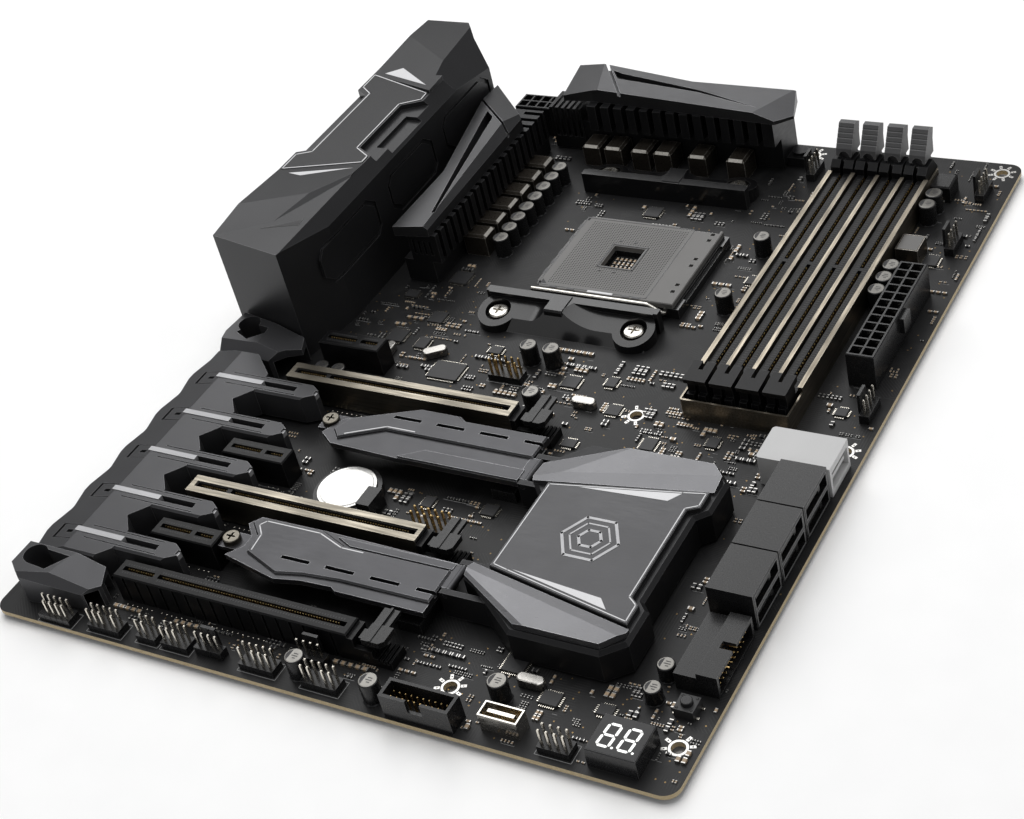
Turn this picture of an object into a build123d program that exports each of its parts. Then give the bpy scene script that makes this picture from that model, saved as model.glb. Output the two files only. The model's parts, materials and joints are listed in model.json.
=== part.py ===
"""ATX desktop motherboard with angular covers, modelled as separate pieces.

Frame: millimetres, +Z up from the board, X from the rear (socket) edge towards the front edge,
Y from the bottom edge towards the top edge. The origin is the centre of the four corner standoff
holes, on the board's underside. Plan places below are measured from the board's rear bottom
corner and heights from its top face; place() turns them into the part's frame.
"""
import os

from build123d import *

# Board
BOARD_X = 243.84
BOARD_Y = 304.8
BOARD_T = 1.6
BOARD_R = 5.0
HOLE_R = 1.98
HOLE_REAR = 10.16
HOLE_COLUMN = 165.10
HOLE_FRONT_INSET = 6.35
HOLE_BOTTOM = 16.51
HOLE_ROW = 140.97
HOLE_TOP_INSET = 6.35
HOLE_FRONT = BOARD_X - HOLE_FRONT_INSET
HOLE_TOP = BOARD_Y - HOLE_TOP_INSET
STANDOFFS = [
    (x, y) for x in (HOLE_REAR, HOLE_COLUMN, HOLE_FRONT) for y in (HOLE_BOTTOM, HOLE_ROW, HOLE_TOP)
]
ORIGIN_X = (HOLE_REAR + HOLE_FRONT) / 2
ORIGIN_Y = (HOLE_BOTTOM + HOLE_TOP) / 2

# Clearances
RUN = 0.1  # between flat faces that slide past each other
PIVOT = 0.06  # radial, between a pivot pin and its hole
GAP = 0.3  # between neighbouring pieces that don't touch

# Processor socket and its cooler brackets
SOCKET_X = 125.8
SOCKET_Y = BOARD_Y - 90.6
SOCKET_BASE_H = 4.2
SOCKET_PLATE_T = 2.0
SOCKET_W = 50.6
SOCKET_L = 44.4
SOCKET_WINDOW = 12.4
CAM_X = SOCKET_X + 26.6
LEVER_R = 0.9
LEVER_Z = 2.6
LEVER_RISE = 3.0
LEVER_L = 52.0
BRACKET_X = 120.5
BRACKET_Y = BOARD_Y - 82.3
BOLT_SPAN_X = 54.0
BOLT_SPAN_Y = 90.0
BRACKET_L = 68.0
BRACKET_H = 8.6
BRACKET_FOOT = 2.6
BRACKET_FRONT = 5.6
BRACKET_BACK = 8.4
BRACKET_RIM = 3.0
BRACKET_LEAN = 5.4
SCOOP_TILT = 13
TAB_W = 7.0
TAB_SHIFT = -3.5
BOSS_R = 7.6
BOLT_R = 1.6
BOLT_HEAD_R = 3.9
BACKPLATE_T = 2.0
BACKPLATE_POST_R = 2.6

# Memory slots
DIMM_COUNT = 4
DIMM_PITCH = 9.2
DIMM_X = 185.8
DIMM_W = 6.6
DIMM_WIDE = 8.3
DIMM_H = 8.6
DIMM_START = BOARD_Y - 158.8
DIMM_END = BOARD_Y - 16.6
DIMM_KEY = BOARD_Y - 84.0
DIMM_GROOVE = 1.5
DIMM_TOWER = 9.0
DIMM_TOWER_H = 15.0
LATCH_W = 4.6
GRIP_W = 6.0
LATCH_PIN_R = 1.1
LATCH_PIVOT_Y = DIMM_END - 4.5
LATCH_PIVOT_Z = 4.5
CHEEK_L = 12.0
SHIELD_T = 0.6
SHIELD_H = 9.8

# Expansion slots
SLOT_PITCH = 20.32
SLOT_FIRST = 20.5
SLOT_X = 42.0
SLOT_W = 7.5
SLOT_H = 11.2
SLOT_GROOVE = 1.9
X16_L = 89.5
X1_L = 25.0
X16_PLACES = (0, 2, 5)
X1_PLACES = (1, 3, 6)
ARMOUR_T = 0.3
CLIP_PIVOT_X = SLOT_X + X16_L + 5.4
CLIP_PIVOT_Z = 3.4
CLIP_PIN_R = 0.9

# Rear cover over the input and output sockets
COVER_X0 = 1.0
COVER_X1 = 37.6
COVER_Y0 = 147.6
COVER_Y1 = BOARD_Y - 2.2
COVER_Z = 45.0
COVER_PEAK = 48.6
COVER_WALL = 2.4
PLATE_T = 1.2
PORT_FRONT = -1.2
PORT_BACK = 20.0

# Power stage
CHOKE_H = 9.0
CHOKE_PITCH = 9.7
CAP_PITCH = 6.9
CAP_R = 3.1
CAP_H = 8.0
FIN_PITCH = 4.5
VRM_BASE_H = 10.0
VRM_CAP_Z = 22.0
VRM_TOP_Z = 29.6

# Lower rear shroud
SHROUD_X0 = 3.2
SHROUD_X1 = 35.0
SHROUD_TOP = 12.0
SHROUD_BOTTOM = 1.2
BLADE_W = 8.2
BLADE_TIP = 59.0
BLADE_COUNT = 5
BLADE_FIRST = SLOT_FIRST + SLOT_PITCH / 2

# Chipset heatsink and the two solid-state drive shields
CHIPSET_TOP = 13.4
WING_TOP = 14.4
PLATE_TOP = 14.0
SHIELD_Z0 = 8.2
SHIELD_Z1 = 11.2
SHIELD_HINGE_X = 151.6
SHIELD_HINGE_R = 1.2
UPPER_DRIVE_Y = 102.6
LOWER_DRIVE_Y = 43.0

# Front-edge connectors
SATA_FRONT = BOARD_X - 2.6
SATA_D = 14.4
SATA_W = 18.4
SATA_H = 13.4
SATA_PITCH = 19.0
SATA_FIRST = 72.0
ATX_X0 = BOARD_X - 16.9
ATX_Y0 = BOARD_Y - 132.8
ATX_H = 12.9
ATX_CELL = 3.6
ATX_PITCH = 4.2
U2_Y = 128.0
U2_H = 11.0
HEADER_PITCH = 2.54

# Push buttons
TACT_X = BOARD_X - 9.0
TACT_Y = 29.2
TACT_SIDE = 6.0
TACT_H = 3.4
PLUNGER_R = 1.75
PLUNGER_TRAVEL = 0.3
BUTTON_R = 2.2
BUTTON_Y = BOARD_Y - 39.4


# --- Frame helpers ---
def place(x, y, z=0.0):
    """A board place: x from the rear edge, y from the bottom edge, z above the board."""
    return Vector(x - ORIGIN_X, y - ORIGIN_Y, z + BOARD_T)


def deck(z=0.0):
    """A plane parallel to the board at height z, with its own origin at the board's corner."""
    return Plane(place(0, 0, z))


def across(x):
    """A plane square to X, seen with board y to the right and height upwards."""
    return Plane(origin=place(x, 0, 0), x_dir=(0, 1, 0), z_dir=(1, 0, 0))


def along(y):
    """A plane square to Y, facing the bottom edge, with x to the right and height upwards."""
    return Plane(origin=place(0, y, 0), x_dir=(1, 0, 0), z_dir=(0, -1, 0))


def slab(x, y, z, mode=Mode.ADD):
    """A block between two x, two y and two z values."""
    with BuildSketch(deck(z[0])) as base:
        with Locations((sum(x) / 2, sum(y) / 2)):
            Rectangle(x[1] - x[0], y[1] - y[0])
    extrude(base.sketch, amount=z[1] - z[0], mode=mode)


def slabs(centres, width, length, z, mode=Mode.ADD):
    """Equal blocks, width along x and length along y, on plan centres."""
    with BuildSketch(deck(z[0])) as base:
        with Locations(*centres):
            Rectangle(width, length)
    extrude(base.sketch, amount=z[1] - z[0], mode=mode)


def posts(centres, radius, z, mode=Mode.ADD):
    """Upright round posts, or holes, on plan centres."""
    with BuildSketch(deck(z[0])) as base:
        with Locations(*centres):
            Circle(radius)
    extrude(base.sketch, amount=z[1] - z[0], mode=mode)


def prism(outline, z, mode=Mode.ADD):
    """A straight-sided block on a plan outline."""
    with BuildSketch(deck(z[0])) as base:
        with BuildLine():
            Polyline(*outline, close=True)
        make_face()
    extrude(base.sketch, amount=z[1] - z[0], mode=mode)


def rib(outline, x, mode=Mode.ADD):
    """A side profile, in y and z, run between two x values."""
    with BuildSketch(across(x[0])) as base:
        with BuildLine():
            Polyline(*outline, close=True)
        make_face()
    extrude(base.sketch, amount=x[1] - x[0], mode=mode)


def cheek(outline, y, mode=Mode.ADD):
    """A side profile, in x and z, run between two y values."""
    with BuildSketch(along(y[1])) as base:
        with BuildLine():
            Polyline(*outline, close=True)
        make_face()
    extrude(base.sketch, amount=y[1] - y[0], mode=mode)


def rod_x(y, z, radius, x, mode=Mode.ADD):
    """A round rod, or bore, along x."""
    with BuildSketch(across(x[0])) as base:
        with Locations((y, z)):
            Circle(radius)
    extrude(base.sketch, amount=x[1] - x[0], mode=mode)


def rod_y(x, z, radius, y, mode=Mode.ADD):
    """A round rod, or bore, along y."""
    with BuildSketch(along(y[1])) as base:
        with Locations((x, z)):
            Circle(radius)
    extrude(base.sketch, amount=y[1] - y[0], mode=mode)


def trim(a, b, c, keep=Keep.BOTTOM):
    """Cuts the piece being built at a sloping plane through three board places."""
    a, b, c = place(*a), place(*b), place(*c)
    normal = (b - a).cross(c - a)
    if normal.Z < 0:
        normal = -normal
    split(bisect_by=Plane(origin=a, x_dir=b - a, z_dir=normal), keep=keep)


def roof(outline, z, facets):
    """A block on a plan outline, its top cut to sloping facets."""
    with BuildPart() as block:
        prism(outline, z)
        for facet in facets:
            trim(*facet)
    return block.part


def save(piece, name):
    """Labels a finished piece and writes it as its own STEP file."""
    piece.part.label = name
    export_step(piece.part, f"parts/{name}.step")


def slot_y(number):
    """The centre line of an expansion slot, counted from the bottom edge."""
    return SLOT_FIRST + number * SLOT_PITCH


def dimm_x(number):
    """The centre line of a memory slot, counted from the processor side."""
    return DIMM_X + number * DIMM_PITCH


os.makedirs("parts", exist_ok=True)

# --- Board ---
BOLTS = [
    (BRACKET_X + sx * BOLT_SPAN_X / 2, BRACKET_Y + sy * BOLT_SPAN_Y / 2) for sx in (-1, 1) for sy in (-1, 1)
]
with BuildPart() as pcb:
    with BuildSketch(deck(-BOARD_T)):
        with Locations((BOARD_X / 2, BOARD_Y / 2)):
            RectangleRounded(BOARD_X, BOARD_Y, BOARD_R)
        with Locations(*STANDOFFS):
            Circle(HOLE_R, mode=Mode.SUBTRACT)
        with Locations(*BOLTS):
            Circle(BACKPLATE_POST_R + RUN, mode=Mode.SUBTRACT)
    extrude(amount=BOARD_T)
save(pcb, "pcb")

# --- Cooler backplate, brackets and screws ---
with BuildPart() as cooler_backplate:
    with BuildSketch(deck(-BOARD_T - BACKPLATE_T)):
        with Locations((BRACKET_X, BRACKET_Y)):
            RectangleRounded(BOLT_SPAN_X + 14, BOLT_SPAN_Y + 14, 6)
            RectangleRounded(BOLT_SPAN_X - 16, BOLT_SPAN_Y - 28, 5, mode=Mode.SUBTRACT)
    extrude(amount=BACKPLATE_T)
    posts(BOLTS, BACKPLATE_POST_R, (-BOARD_T, 0))
    posts(BOLTS, BOLT_R, (-BOARD_T - BACKPLATE_T, 0), Mode.SUBTRACT)
save(cooler_backplate, "cooler_backplate")


def scoop(bolt_y, side, low, high):
    """A smooth hollow, open to the front, that falls from the middle tab to the flat by a screw."""
    fall = Vector(0, side, 0).rotate(Axis.X, -side * SCOOP_TILT)
    start = place(BRACKET_X, bolt_y - side * (BRACKET_BACK - BRACKET_RIM), BRACKET_FOOT + 3.6)
    outer = BRACKET_L if low > high else -BRACKET_L
    with BuildSketch(Plane(origin=start, x_dir=(-side, 0, 0), z_dir=fall)) as profile:
        with BuildLine():
            TangentArc((low, 0), (high, 3.2), tangent=(high - low, 0))
            Polyline((high, 3.2), (high, BRACKET_H + 4), (outer, BRACKET_H + 4), (outer, 0), (low, 0))
        make_face()
    extrude(profile.sketch, amount=2 * BRACKET_BACK + BOSS_R, mode=Mode.SUBTRACT)


def cooler_bracket(side):
    """One bracket: side is -1 below the socket and +1 above it; its rim faces the socket."""
    bolt_y = BRACKET_Y + side * BOLT_SPAN_Y / 2
    rim_y = bolt_y - side * BRACKET_BACK
    front_y = bolt_y + side * BRACKET_FRONT
    bolts = [(BRACKET_X - BOLT_SPAN_X / 2, bolt_y), (BRACKET_X + BOLT_SPAN_X / 2, bolt_y)]
    tab_x = BRACKET_X - side * TAB_SHIFT
    body = [(front_y, 0), (front_y - side * BRACKET_LEAN, BRACKET_H), (rim_y, BRACKET_H), (rim_y, 0)]
    with BuildPart() as bracket:
        rib(body, (BRACKET_X - BRACKET_L / 2 + 1.4, BRACKET_X + BRACKET_L / 2 - 1.4))
        posts(bolts, BOSS_R, (0, BRACKET_H))
        scoop(bolt_y, side, TAB_SHIFT + TAB_W / 2 + 14, TAB_SHIFT + TAB_W / 2)
        scoop(bolt_y, side, TAB_SHIFT - TAB_W / 2 - 6, TAB_SHIFT - TAB_W / 2)
        tab_y = sorted((rim_y, bolt_y + side * 1.4))
        slab((tab_x - TAB_W / 2, tab_x + TAB_W / 2), tab_y, (0, BRACKET_H + 0.4))
        chamfer(bracket.edges().filter_by(Axis.X).group_by(Axis.Z)[-1], 0.6)
        rim = sorted((rim_y, rim_y + side * BRACKET_RIM))
        slab((BRACKET_X - BRACKET_L / 2, BRACKET_X + BRACKET_L / 2), rim, (0, BRACKET_H))
        posts(bolts, BOLT_HEAD_R + 0.9, (BRACKET_FOOT, BRACKET_H + 1), Mode.SUBTRACT)
        posts(bolts, BOLT_R, (0, BRACKET_FOOT), Mode.SUBTRACT)
    return bracket


cooler_bracket_lower = cooler_bracket(-1)
save(cooler_bracket_lower, "cooler_bracket_lower")
cooler_bracket_upper = cooler_bracket(1)
save(cooler_bracket_upper, "cooler_bracket_upper")

with BuildPart() as bracket_screws:
    posts(BOLTS, BOLT_R, (-BOARD_T - BACKPLATE_T, BRACKET_FOOT))
    posts(BOLTS, BOLT_HEAD_R, (BRACKET_FOOT, BRACKET_FOOT + 2.2))
    fillet(bracket_screws.faces().group_by(Axis.Z)[-1].edges(), 0.9)
    slabs(BOLTS, 4.4, 0.9, (BRACKET_FOOT + 1.2, BRACKET_FOOT + 2.2), Mode.SUBTRACT)
    slabs(BOLTS, 0.9, 4.4, (BRACKET_FOOT + 1.2, BRACKET_FOOT + 2.2), Mode.SUBTRACT)
save(bracket_screws, "bracket_screws")

# --- Processor socket ---
BASE_X0 = SOCKET_X - SOCKET_W / 2 + 2.4
BASE_X1 = SOCKET_X + SOCKET_W / 2 + 6.6
BASE_Y0 = SOCKET_Y - SOCKET_L / 2
BASE_Y1 = SOCKET_Y + SOCKET_L / 2
LEVER_Y = BASE_Y0 - GAP - LEVER_R
PLATE_Z0 = SOCKET_BASE_H + RUN
PLATE_Z1 = PLATE_Z0 + SOCKET_PLATE_T
with BuildPart() as socket_base:
    slab((BASE_X0, BASE_X1), (BASE_Y0, BASE_Y1), (0, SOCKET_BASE_H))
    slab(
        (CAM_X + 4, BASE_X1),
        (BASE_Y0 + 6, BASE_Y1 - 6),
        (SOCKET_BASE_H - 1.2, SOCKET_BASE_H),
        Mode.SUBTRACT,
    )
    with Locations(deck(SOCKET_BASE_H) * Location((SOCKET_X, SOCKET_Y, 0))):
        Box(
            SOCKET_WINDOW,
            SOCKET_WINDOW,
            2.4,
            align=(Align.CENTER, Align.CENTER, Align.MAX),
            mode=Mode.SUBTRACT,
        )
    rod_y(CAM_X, LEVER_Z, LEVER_R + PIVOT, (BASE_Y0, BASE_Y1 - 8), Mode.SUBTRACT)
    slab((BASE_X0 + 3, BASE_X0 + 7), (BASE_Y0 - 2.6, BASE_Y0), (0, SOCKET_BASE_H - GAP))
save(socket_base, "socket_base")

COVER_PLATE_X1 = BASE_X1 - 2.0
CAM_STRIP_X = COVER_PLATE_X1 - 3.0
CAM_PAIRS = [(CAM_STRIP_X, SOCKET_Y + dy) for dy in (-15.2, -11.2, 0.4, 4.4, 16.0, 19.6)]
with BuildPart() as socket_cover:
    slab((SOCKET_X - SOCKET_W / 2, COVER_PLATE_X1), (BASE_Y0, BASE_Y1), (PLATE_Z0, PLATE_Z1))
    for corner_x, corner_y, notch_x, notch_y in (
        (SOCKET_X - SOCKET_W / 2, BASE_Y0, 2.2, 3.0),
        (SOCKET_X - SOCKET_W / 2, BASE_Y1, 2.2, 3.0),
        (COVER_PLATE_X1 - 9, BASE_Y1, 8.0, 1.6),
    ):
        slabs([(corner_x, corner_y)], 2 * notch_x, 2 * notch_y, (PLATE_Z0, PLATE_Z1), Mode.SUBTRACT)
    slabs([(SOCKET_X, SOCKET_Y)], SOCKET_WINDOW, SOCKET_WINDOW, (PLATE_Z0, PLATE_Z1), Mode.SUBTRACT)
    slabs(CAM_PAIRS, 1.6, 1.6, (PLATE_Z1 - 1.0, PLATE_Z1), Mode.SUBTRACT)
    chamfer(socket_cover.faces().sort_by(Axis.Z)[-1].edges().sort_by(Edge.length)[-4:], 0.3)
save(socket_cover, "socket_cover")

with BuildPart() as socket_lever:
    with BuildLine() as lever_path:
        FilletPolyline(
            place(CAM_X, BASE_Y1 - 12, LEVER_Z),
            place(CAM_X, LEVER_Y, LEVER_Z),
            place(CAM_X - 2 * LEVER_RISE, LEVER_Y, LEVER_Z + LEVER_RISE),
            place(CAM_X - LEVER_L, LEVER_Y, LEVER_Z + LEVER_RISE),
            radius=BASE_Y0 - LEVER_Y,
        )
    with BuildSketch(Plane(origin=lever_path.line @ 0, z_dir=lever_path.line % 0)):
        Circle(LEVER_R)
    sweep()
save(socket_lever, "socket_lever")


# --- Memory slots ---
def dimm_slot(number):
    """The fixed body: grooved bar, near end tower and the two cheeks that carry the latch."""
    x = dimm_x(number)
    wide = (x - DIMM_WIDE / 2, x + DIMM_WIDE / 2)
    body = (x - DIMM_W / 2, x + DIMM_W / 2)
    tower_end = DIMM_START + DIMM_TOWER
    cheek_start = DIMM_END - CHEEK_L
    with BuildPart() as slot:
        slab(body, (DIMM_START, DIMM_END), (0, DIMM_H))
        slab(wide, (DIMM_START + 1, tower_end), (0, 4.0))
        slab((x - 3.4, x + 3.4), (DIMM_START + 1.6, tower_end - 0.6), (0, DIMM_TOWER_H - 2.4))
        flange = [
            (DIMM_START + 0.4, DIMM_TOWER_H - 2.4),
            (tower_end + 0.8, DIMM_TOWER_H - 2.4),
            (tower_end + 0.8, DIMM_TOWER_H),
            (DIMM_START, DIMM_TOWER_H - 0.5),
        ]
        rib(flange, (x - 3.9, x + 3.9))
        slab((x - 0.8, x + 0.8), (DIMM_START, DIMM_START + 3.2), (3.0, DIMM_TOWER_H - 2.4), Mode.SUBTRACT)
        slab((x - 0.8, x + 0.8), (tower_end - 3.4, tower_end + 2), (2.2, DIMM_TOWER_H), Mode.SUBTRACT)
        ears = [
            (cheek_start, 0),
            (DIMM_END, 0),
            (DIMM_END, LATCH_PIVOT_Z + 3.4),
            (LATCH_PIVOT_Y + 0.6, LATCH_PIVOT_Z + 8.6),
            (cheek_start + 2.4, LATCH_PIVOT_Z + 8.6),
            (cheek_start, LATCH_PIVOT_Z + 6.6),
        ]
        rib(ears, wide)
        latch_bay = (x - LATCH_W / 2 - GAP, x + LATCH_W / 2 + GAP)
        slab(latch_bay, (cheek_start + 3.6, DIMM_END), (0.8, 30), Mode.SUBTRACT)
        slab(
            (x - DIMM_GROOVE / 2, x + DIMM_GROOVE / 2), (tower_end - 1, DIMM_KEY), (2.2, 30), Mode.SUBTRACT
        )
        slab(
            (x - DIMM_GROOVE / 2, x + DIMM_GROOVE / 2),
            (DIMM_KEY + 1.6, cheek_start + 3.6),
            (2.2, 30),
            Mode.SUBTRACT,
        )
        rod_x(LATCH_PIVOT_Y, LATCH_PIVOT_Z, LATCH_PIN_R + PIVOT, wide, Mode.SUBTRACT)
    return slot


def dimm_latch(number):
    """The swinging latch: a narrow leg between the cheeks and a wide ribbed grip above them."""
    x = dimm_x(number)
    back = DIMM_END
    leg = [
        (LATCH_PIVOT_Y - 2.2, 2.0),
        (LATCH_PIVOT_Y + 2.2, 2.0),
        (back - 0.8, 8.0),
        (back - 0.8, 14.6),
        (back - 8.0, 14.6),
        (back - 8.0, 10.6),
        (LATCH_PIVOT_Y - 2.2, 7.6),
    ]
    grip = [
        (back - 8.6, 13.8),
        (back + 0.2, 13.8),
        (back + 0.4, 19.2),
        (back + 1.6, 23.0),
        (back - 0.6, 24.4),
        (back - 2.8, 24.4),
        (back - 8.0, 16.6),
    ]
    with BuildPart() as latch:
        rib(leg, (x - LATCH_W / 2, x + LATCH_W / 2))
        rib(grip, (x - GRIP_W / 2, x + GRIP_W / 2))
        for step in (0.22, 0.42, 0.62, 0.82):
            groove_y = back - 8.0 + step * 5.2
            groove_z = 16.6 + step * 7.8
            rod_x(groove_y - 0.2, groove_z + 0.2, 0.42, (x - GRIP_W / 2, x + GRIP_W / 2), Mode.SUBTRACT)
        rod_y(x, 13.6, 2.1, (back - 9, back - 5.4), Mode.SUBTRACT)
        rod_x(LATCH_PIVOT_Y, LATCH_PIVOT_Z, LATCH_PIN_R, (x - DIMM_WIDE / 2 + 0.2, x + DIMM_WIDE / 2 - 0.2))
    return latch


for number in range(DIMM_COUNT):
    slot = dimm_slot(number)
    save(slot, f"dimm_slot_{number + 1}")
    latch = dimm_latch(number)
    save(latch, f"dimm_latch_{number + 1}")

BLADES_X = [dimm_x(number) + DIMM_PITCH / 2 for number in range(DIMM_COUNT - 1)]
RAIL_X0 = dimm_x(0) - DIMM_WIDE / 2 - GAP - SHIELD_T
RAIL_X1 = dimm_x(DIMM_COUNT - 1) + DIMM_WIDE / 2 + GAP + SHIELD_T
SHIELD_START = DIMM_START - 2.4
SHIELD_END = DIMM_END - CHEEK_L - GAP
BLADE_START = DIMM_START + DIMM_TOWER + 1.2
with BuildPart() as dimm_shields:
    slab((RAIL_X0, RAIL_X1), (SHIELD_START, DIMM_END - 2), (0, DIMM_H - 0.6))
    inside = (RAIL_X0 + SHIELD_T, RAIL_X1 - SHIELD_T)
    slab(inside, (SHIELD_START + SHIELD_T, DIMM_END), (0, DIMM_H), Mode.SUBTRACT)
    chamfer(dimm_shields.edges().filter_by(Axis.Z).group_by(Axis.Y)[0], SHIELD_T)
    left_lip = (RAIL_X0, dimm_x(0) - DIMM_W / 2 - 0.1)
    slab(left_lip, (BLADE_START, SHIELD_END), (DIMM_H - 0.6, SHIELD_H))
    right_lip = (dimm_x(DIMM_COUNT - 1) + DIMM_W / 2 + 0.1, RAIL_X1)
    slab(right_lip, (BLADE_START, SHIELD_END), (DIMM_H - 0.6, SHIELD_H))
    for blade_x in BLADES_X:
        slab((blade_x - 0.7, blade_x + 0.7), (BLADE_START, SHIELD_END), (0.4, SHIELD_H))
save(dimm_shields, "dimm_shields")


# --- Expansion slots ---
def slot_body(y, length, width, ribbed):
    """A plain slot body with its card groove and key, and ribs on a bare long slot."""
    low, high = y - width / 2, y + width / 2
    end = SLOT_X + length
    key = SLOT_X + 14.3
    with BuildPart() as body:
        slab((SLOT_X, end), (low, high), (0, SLOT_H - 0.2))
        chamfer(body.faces().sort_by(Axis.Z)[-1].edges(), 0.4)
        groove = (y - SLOT_GROOVE / 2, y + SLOT_GROOVE / 2)
        slab((SLOT_X + 2, key), groove, (3.0, SLOT_H), Mode.SUBTRACT)
        slab((key + 1.7, end - 2), groove, (3.0, SLOT_H), Mode.SUBTRACT)
        if ribbed:
            for number in range(17):
                rib_x = SLOT_X + 3.4 + number * 5.0
                slab((rib_x, rib_x + 1.2), (low, low + 0.7), (0, SLOT_H - 0.9), Mode.SUBTRACT)
    return body


def x16_slot(number, armoured):
    """A long slot with the open tail frame that carries its card clip."""
    y = slot_y(number)
    width = SLOT_W - 2 * ARMOUR_T - 0.1 if armoured else SLOT_W
    body = slot_body(y, X16_L, width, not armoured)
    end = SLOT_X + X16_L
    with BuildPart() as slot:
        add(body.part)
        slab((end, CLIP_PIVOT_X + 2.4), (y - 3.75, y + 3.75), (0, 6.0))
        slab((end, end + 2.0), (y - 3.75, y + 3.75), (6.0, SLOT_H - 1.6))
        slab((CLIP_PIVOT_X + 2.4, CLIP_PIVOT_X + 8.6), (y - 3.75, y + 3.75), (0, 3.4))
        slab((end + 2.0, CLIP_PIVOT_X + 2.4), (y - 2.2, y + 2.2), (1.0, 12), Mode.SUBTRACT)
        rod_y(CLIP_PIVOT_X, CLIP_PIVOT_Z, CLIP_PIN_R + PIVOT, (y - 3.75, y + 3.75), Mode.SUBTRACT)
        for step in range(3):
            rib_x = CLIP_PIVOT_X + 4.0 + step * 1.6
            slab((rib_x, rib_x + 0.7), (y - 3.75, y + 3.75), (2.2, 3.4), Mode.SUBTRACT)
    return slot


def card_clip(number):
    """The card clip: a hook between the tail rails with a wide press tab on top."""
    y = slot_y(number)
    x = CLIP_PIVOT_X
    with BuildPart() as clip:
        slab((x - 1.6, x + 1.8), (y - 1.9, y + 1.9), (1.6, 9.0))
        slab((x - 2.4, x - 1.6), (y - 1.9, y + 1.9), (7.4, 9.0))
        tab = [
            (x - 0.4, y - 3.4),
            (x + 5.6, y - 3.4),
            (x + 7.0, y - 2.0),
            (x + 7.0, y + 3.6),
            (x - 0.4, y + 3.6),
        ]
        prism(tab, (8.2, 10.2))
        slab((x - 0.4, x + 5.0), (y + 3.6, y + 10.6), (8.6, 9.8))
        slab((x + 2.2, x + 2.9), (y - 3.4, y + 10.6), (8.9, 10.5))
        rod_y(x, CLIP_PIVOT_Z, CLIP_PIN_R, (y - 3.6, y + 3.6))
    return clip


for order, number in enumerate(X16_PLACES):
    x16 = x16_slot(number, armoured=order > 0)
    save(x16, f"pcie_x16_slot_{order + 1}")
    clip = card_clip(number)
    save(clip, f"pcie_latch_{order + 1}")

with BuildPart() as pcie_x16_armor:
    for number in X16_PLACES[1:]:
        y = slot_y(number)
        end = SLOT_X + X16_L
        slab((SLOT_X - 0.4, end - 0.1), (y - SLOT_W / 2, y + SLOT_W / 2), (0.6, SLOT_H + 0.2))
        inner = SLOT_W / 2 - ARMOUR_T
        slab((SLOT_X - 0.05, end), (y - inner, y + inner), (0, SLOT_H - 0.15), Mode.SUBTRACT)
        slab((SLOT_X + 1.5, end - 1.5), (y - 1.3, y + 1.3), (SLOT_H - 1, SLOT_H + 1), Mode.SUBTRACT)
save(pcie_x16_armor, "pcie_x16_armor")

x1_bodies = [slot_body(slot_y(number), X1_L, SLOT_W, False) for number in X1_PLACES]
with BuildPart() as pcie_x1_slots:
    for body in x1_bodies:
        add(body.part)
save(pcie_x1_slots, "pcie_x1_slots")


# --- Cover over the rear sockets ---
def under_top(*points):
    """Plan points given as x and the distance below the board's top edge."""
    return [(x, BOARD_Y - drop) for x, drop in points]


COVER_OUTLINE = [
    (COVER_X0, COVER_Y0),
    (33.0, COVER_Y0 - 6),
    (COVER_X1, COVER_Y0 + 19.5),
    (COVER_X1, COVER_Y1 - 17.5),
    (27.0, COVER_Y1 - 8),
    (20.5, COVER_Y1),
    (COVER_X0, COVER_Y1),
]
RIDGE_X = 33.2
NEAR_EDGE = [(COVER_X0, BOARD_Y - 114.2), (RIDGE_X, BOARD_Y - 104.4)]
FAR_EDGE = [(COVER_X0, BOARD_Y - 45.2), (RIDGE_X, BOARD_Y - 55.2)]
NEAR_CREST = (24.7, BOARD_Y - 128.0, COVER_Z + 1.6)
FAR_CREST = (27.5, BOARD_Y - 34.5, COVER_Z + 1.9)
REAR_CREST = (COVER_X0, BOARD_Y - 16.4, COVER_Z + 0.9)
FAR_CORNER = (24.5, BOARD_Y - 10.4, COVER_Z + 0.4)
near_block = roof(
    [NEAR_EDGE[0], NEAR_EDGE[1], (RIDGE_X, COVER_Y0 + 14), (33.0, COVER_Y0 - 6), (COVER_X0, COVER_Y0)],
    (COVER_Z - 6, COVER_PEAK),
    [
        ((*NEAR_EDGE[0], COVER_Z), (*NEAR_EDGE[1], COVER_Z), NEAR_CREST),
        (NEAR_CREST, (0, COVER_Y0 + 17, COVER_Z + 2), (COVER_X0, COVER_Y0, COVER_Z)),
        (NEAR_CREST, (RIDGE_X, NEAR_EDGE[1][1] - 9, COVER_Z + 0.2), (16.3, COVER_Y0 + 8, COVER_Z + 1)),
    ],
)
far_block = roof(
    [
        FAR_EDGE[0],
        FAR_EDGE[1],
        (RIDGE_X, COVER_Y1 - 14),
        (27.0, COVER_Y1 - 8),
        (20.5, COVER_Y1),
        (COVER_X0, COVER_Y1),
    ],
    (COVER_Z - 6, COVER_PEAK + 1.2),
    [
        ((*FAR_EDGE[0], COVER_Z - 0.2), REAR_CREST, FAR_CREST),
        (FAR_CREST, REAR_CREST, FAR_CORNER),
    ],
)
with BuildPart() as far_drop:
    prism(
        [(RIDGE_X - 12, BOARD_Y - 45), (COVER_X1 + 1, BOARD_Y - 45), (COVER_X1 + 1, BOARD_Y), (15, BOARD_Y)],
        (COVER_Z - 20, COVER_PEAK + 1.2),
    )
    trim(FAR_CREST, (34.0, BOARD_Y - 45.0, COVER_Z - 1.5), (COVER_X1, BOARD_Y - 16.2, 35.2), Keep.TOP)
COVER_PLATE = under_top(
    (1.4, 45.4),
    (32.4, 55.0),
    (32.6, 59.7),
    (25.0, 64.2),
    (25.0, 95.8),
    (32.8, 100.3),
    (32.8, 104.4),
    (1.6, 114.0),
    (1.6, 104.2),
    (7.4, 101.3),
    (7.4, 58.8),
    (1.6, 54.8),
)
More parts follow.
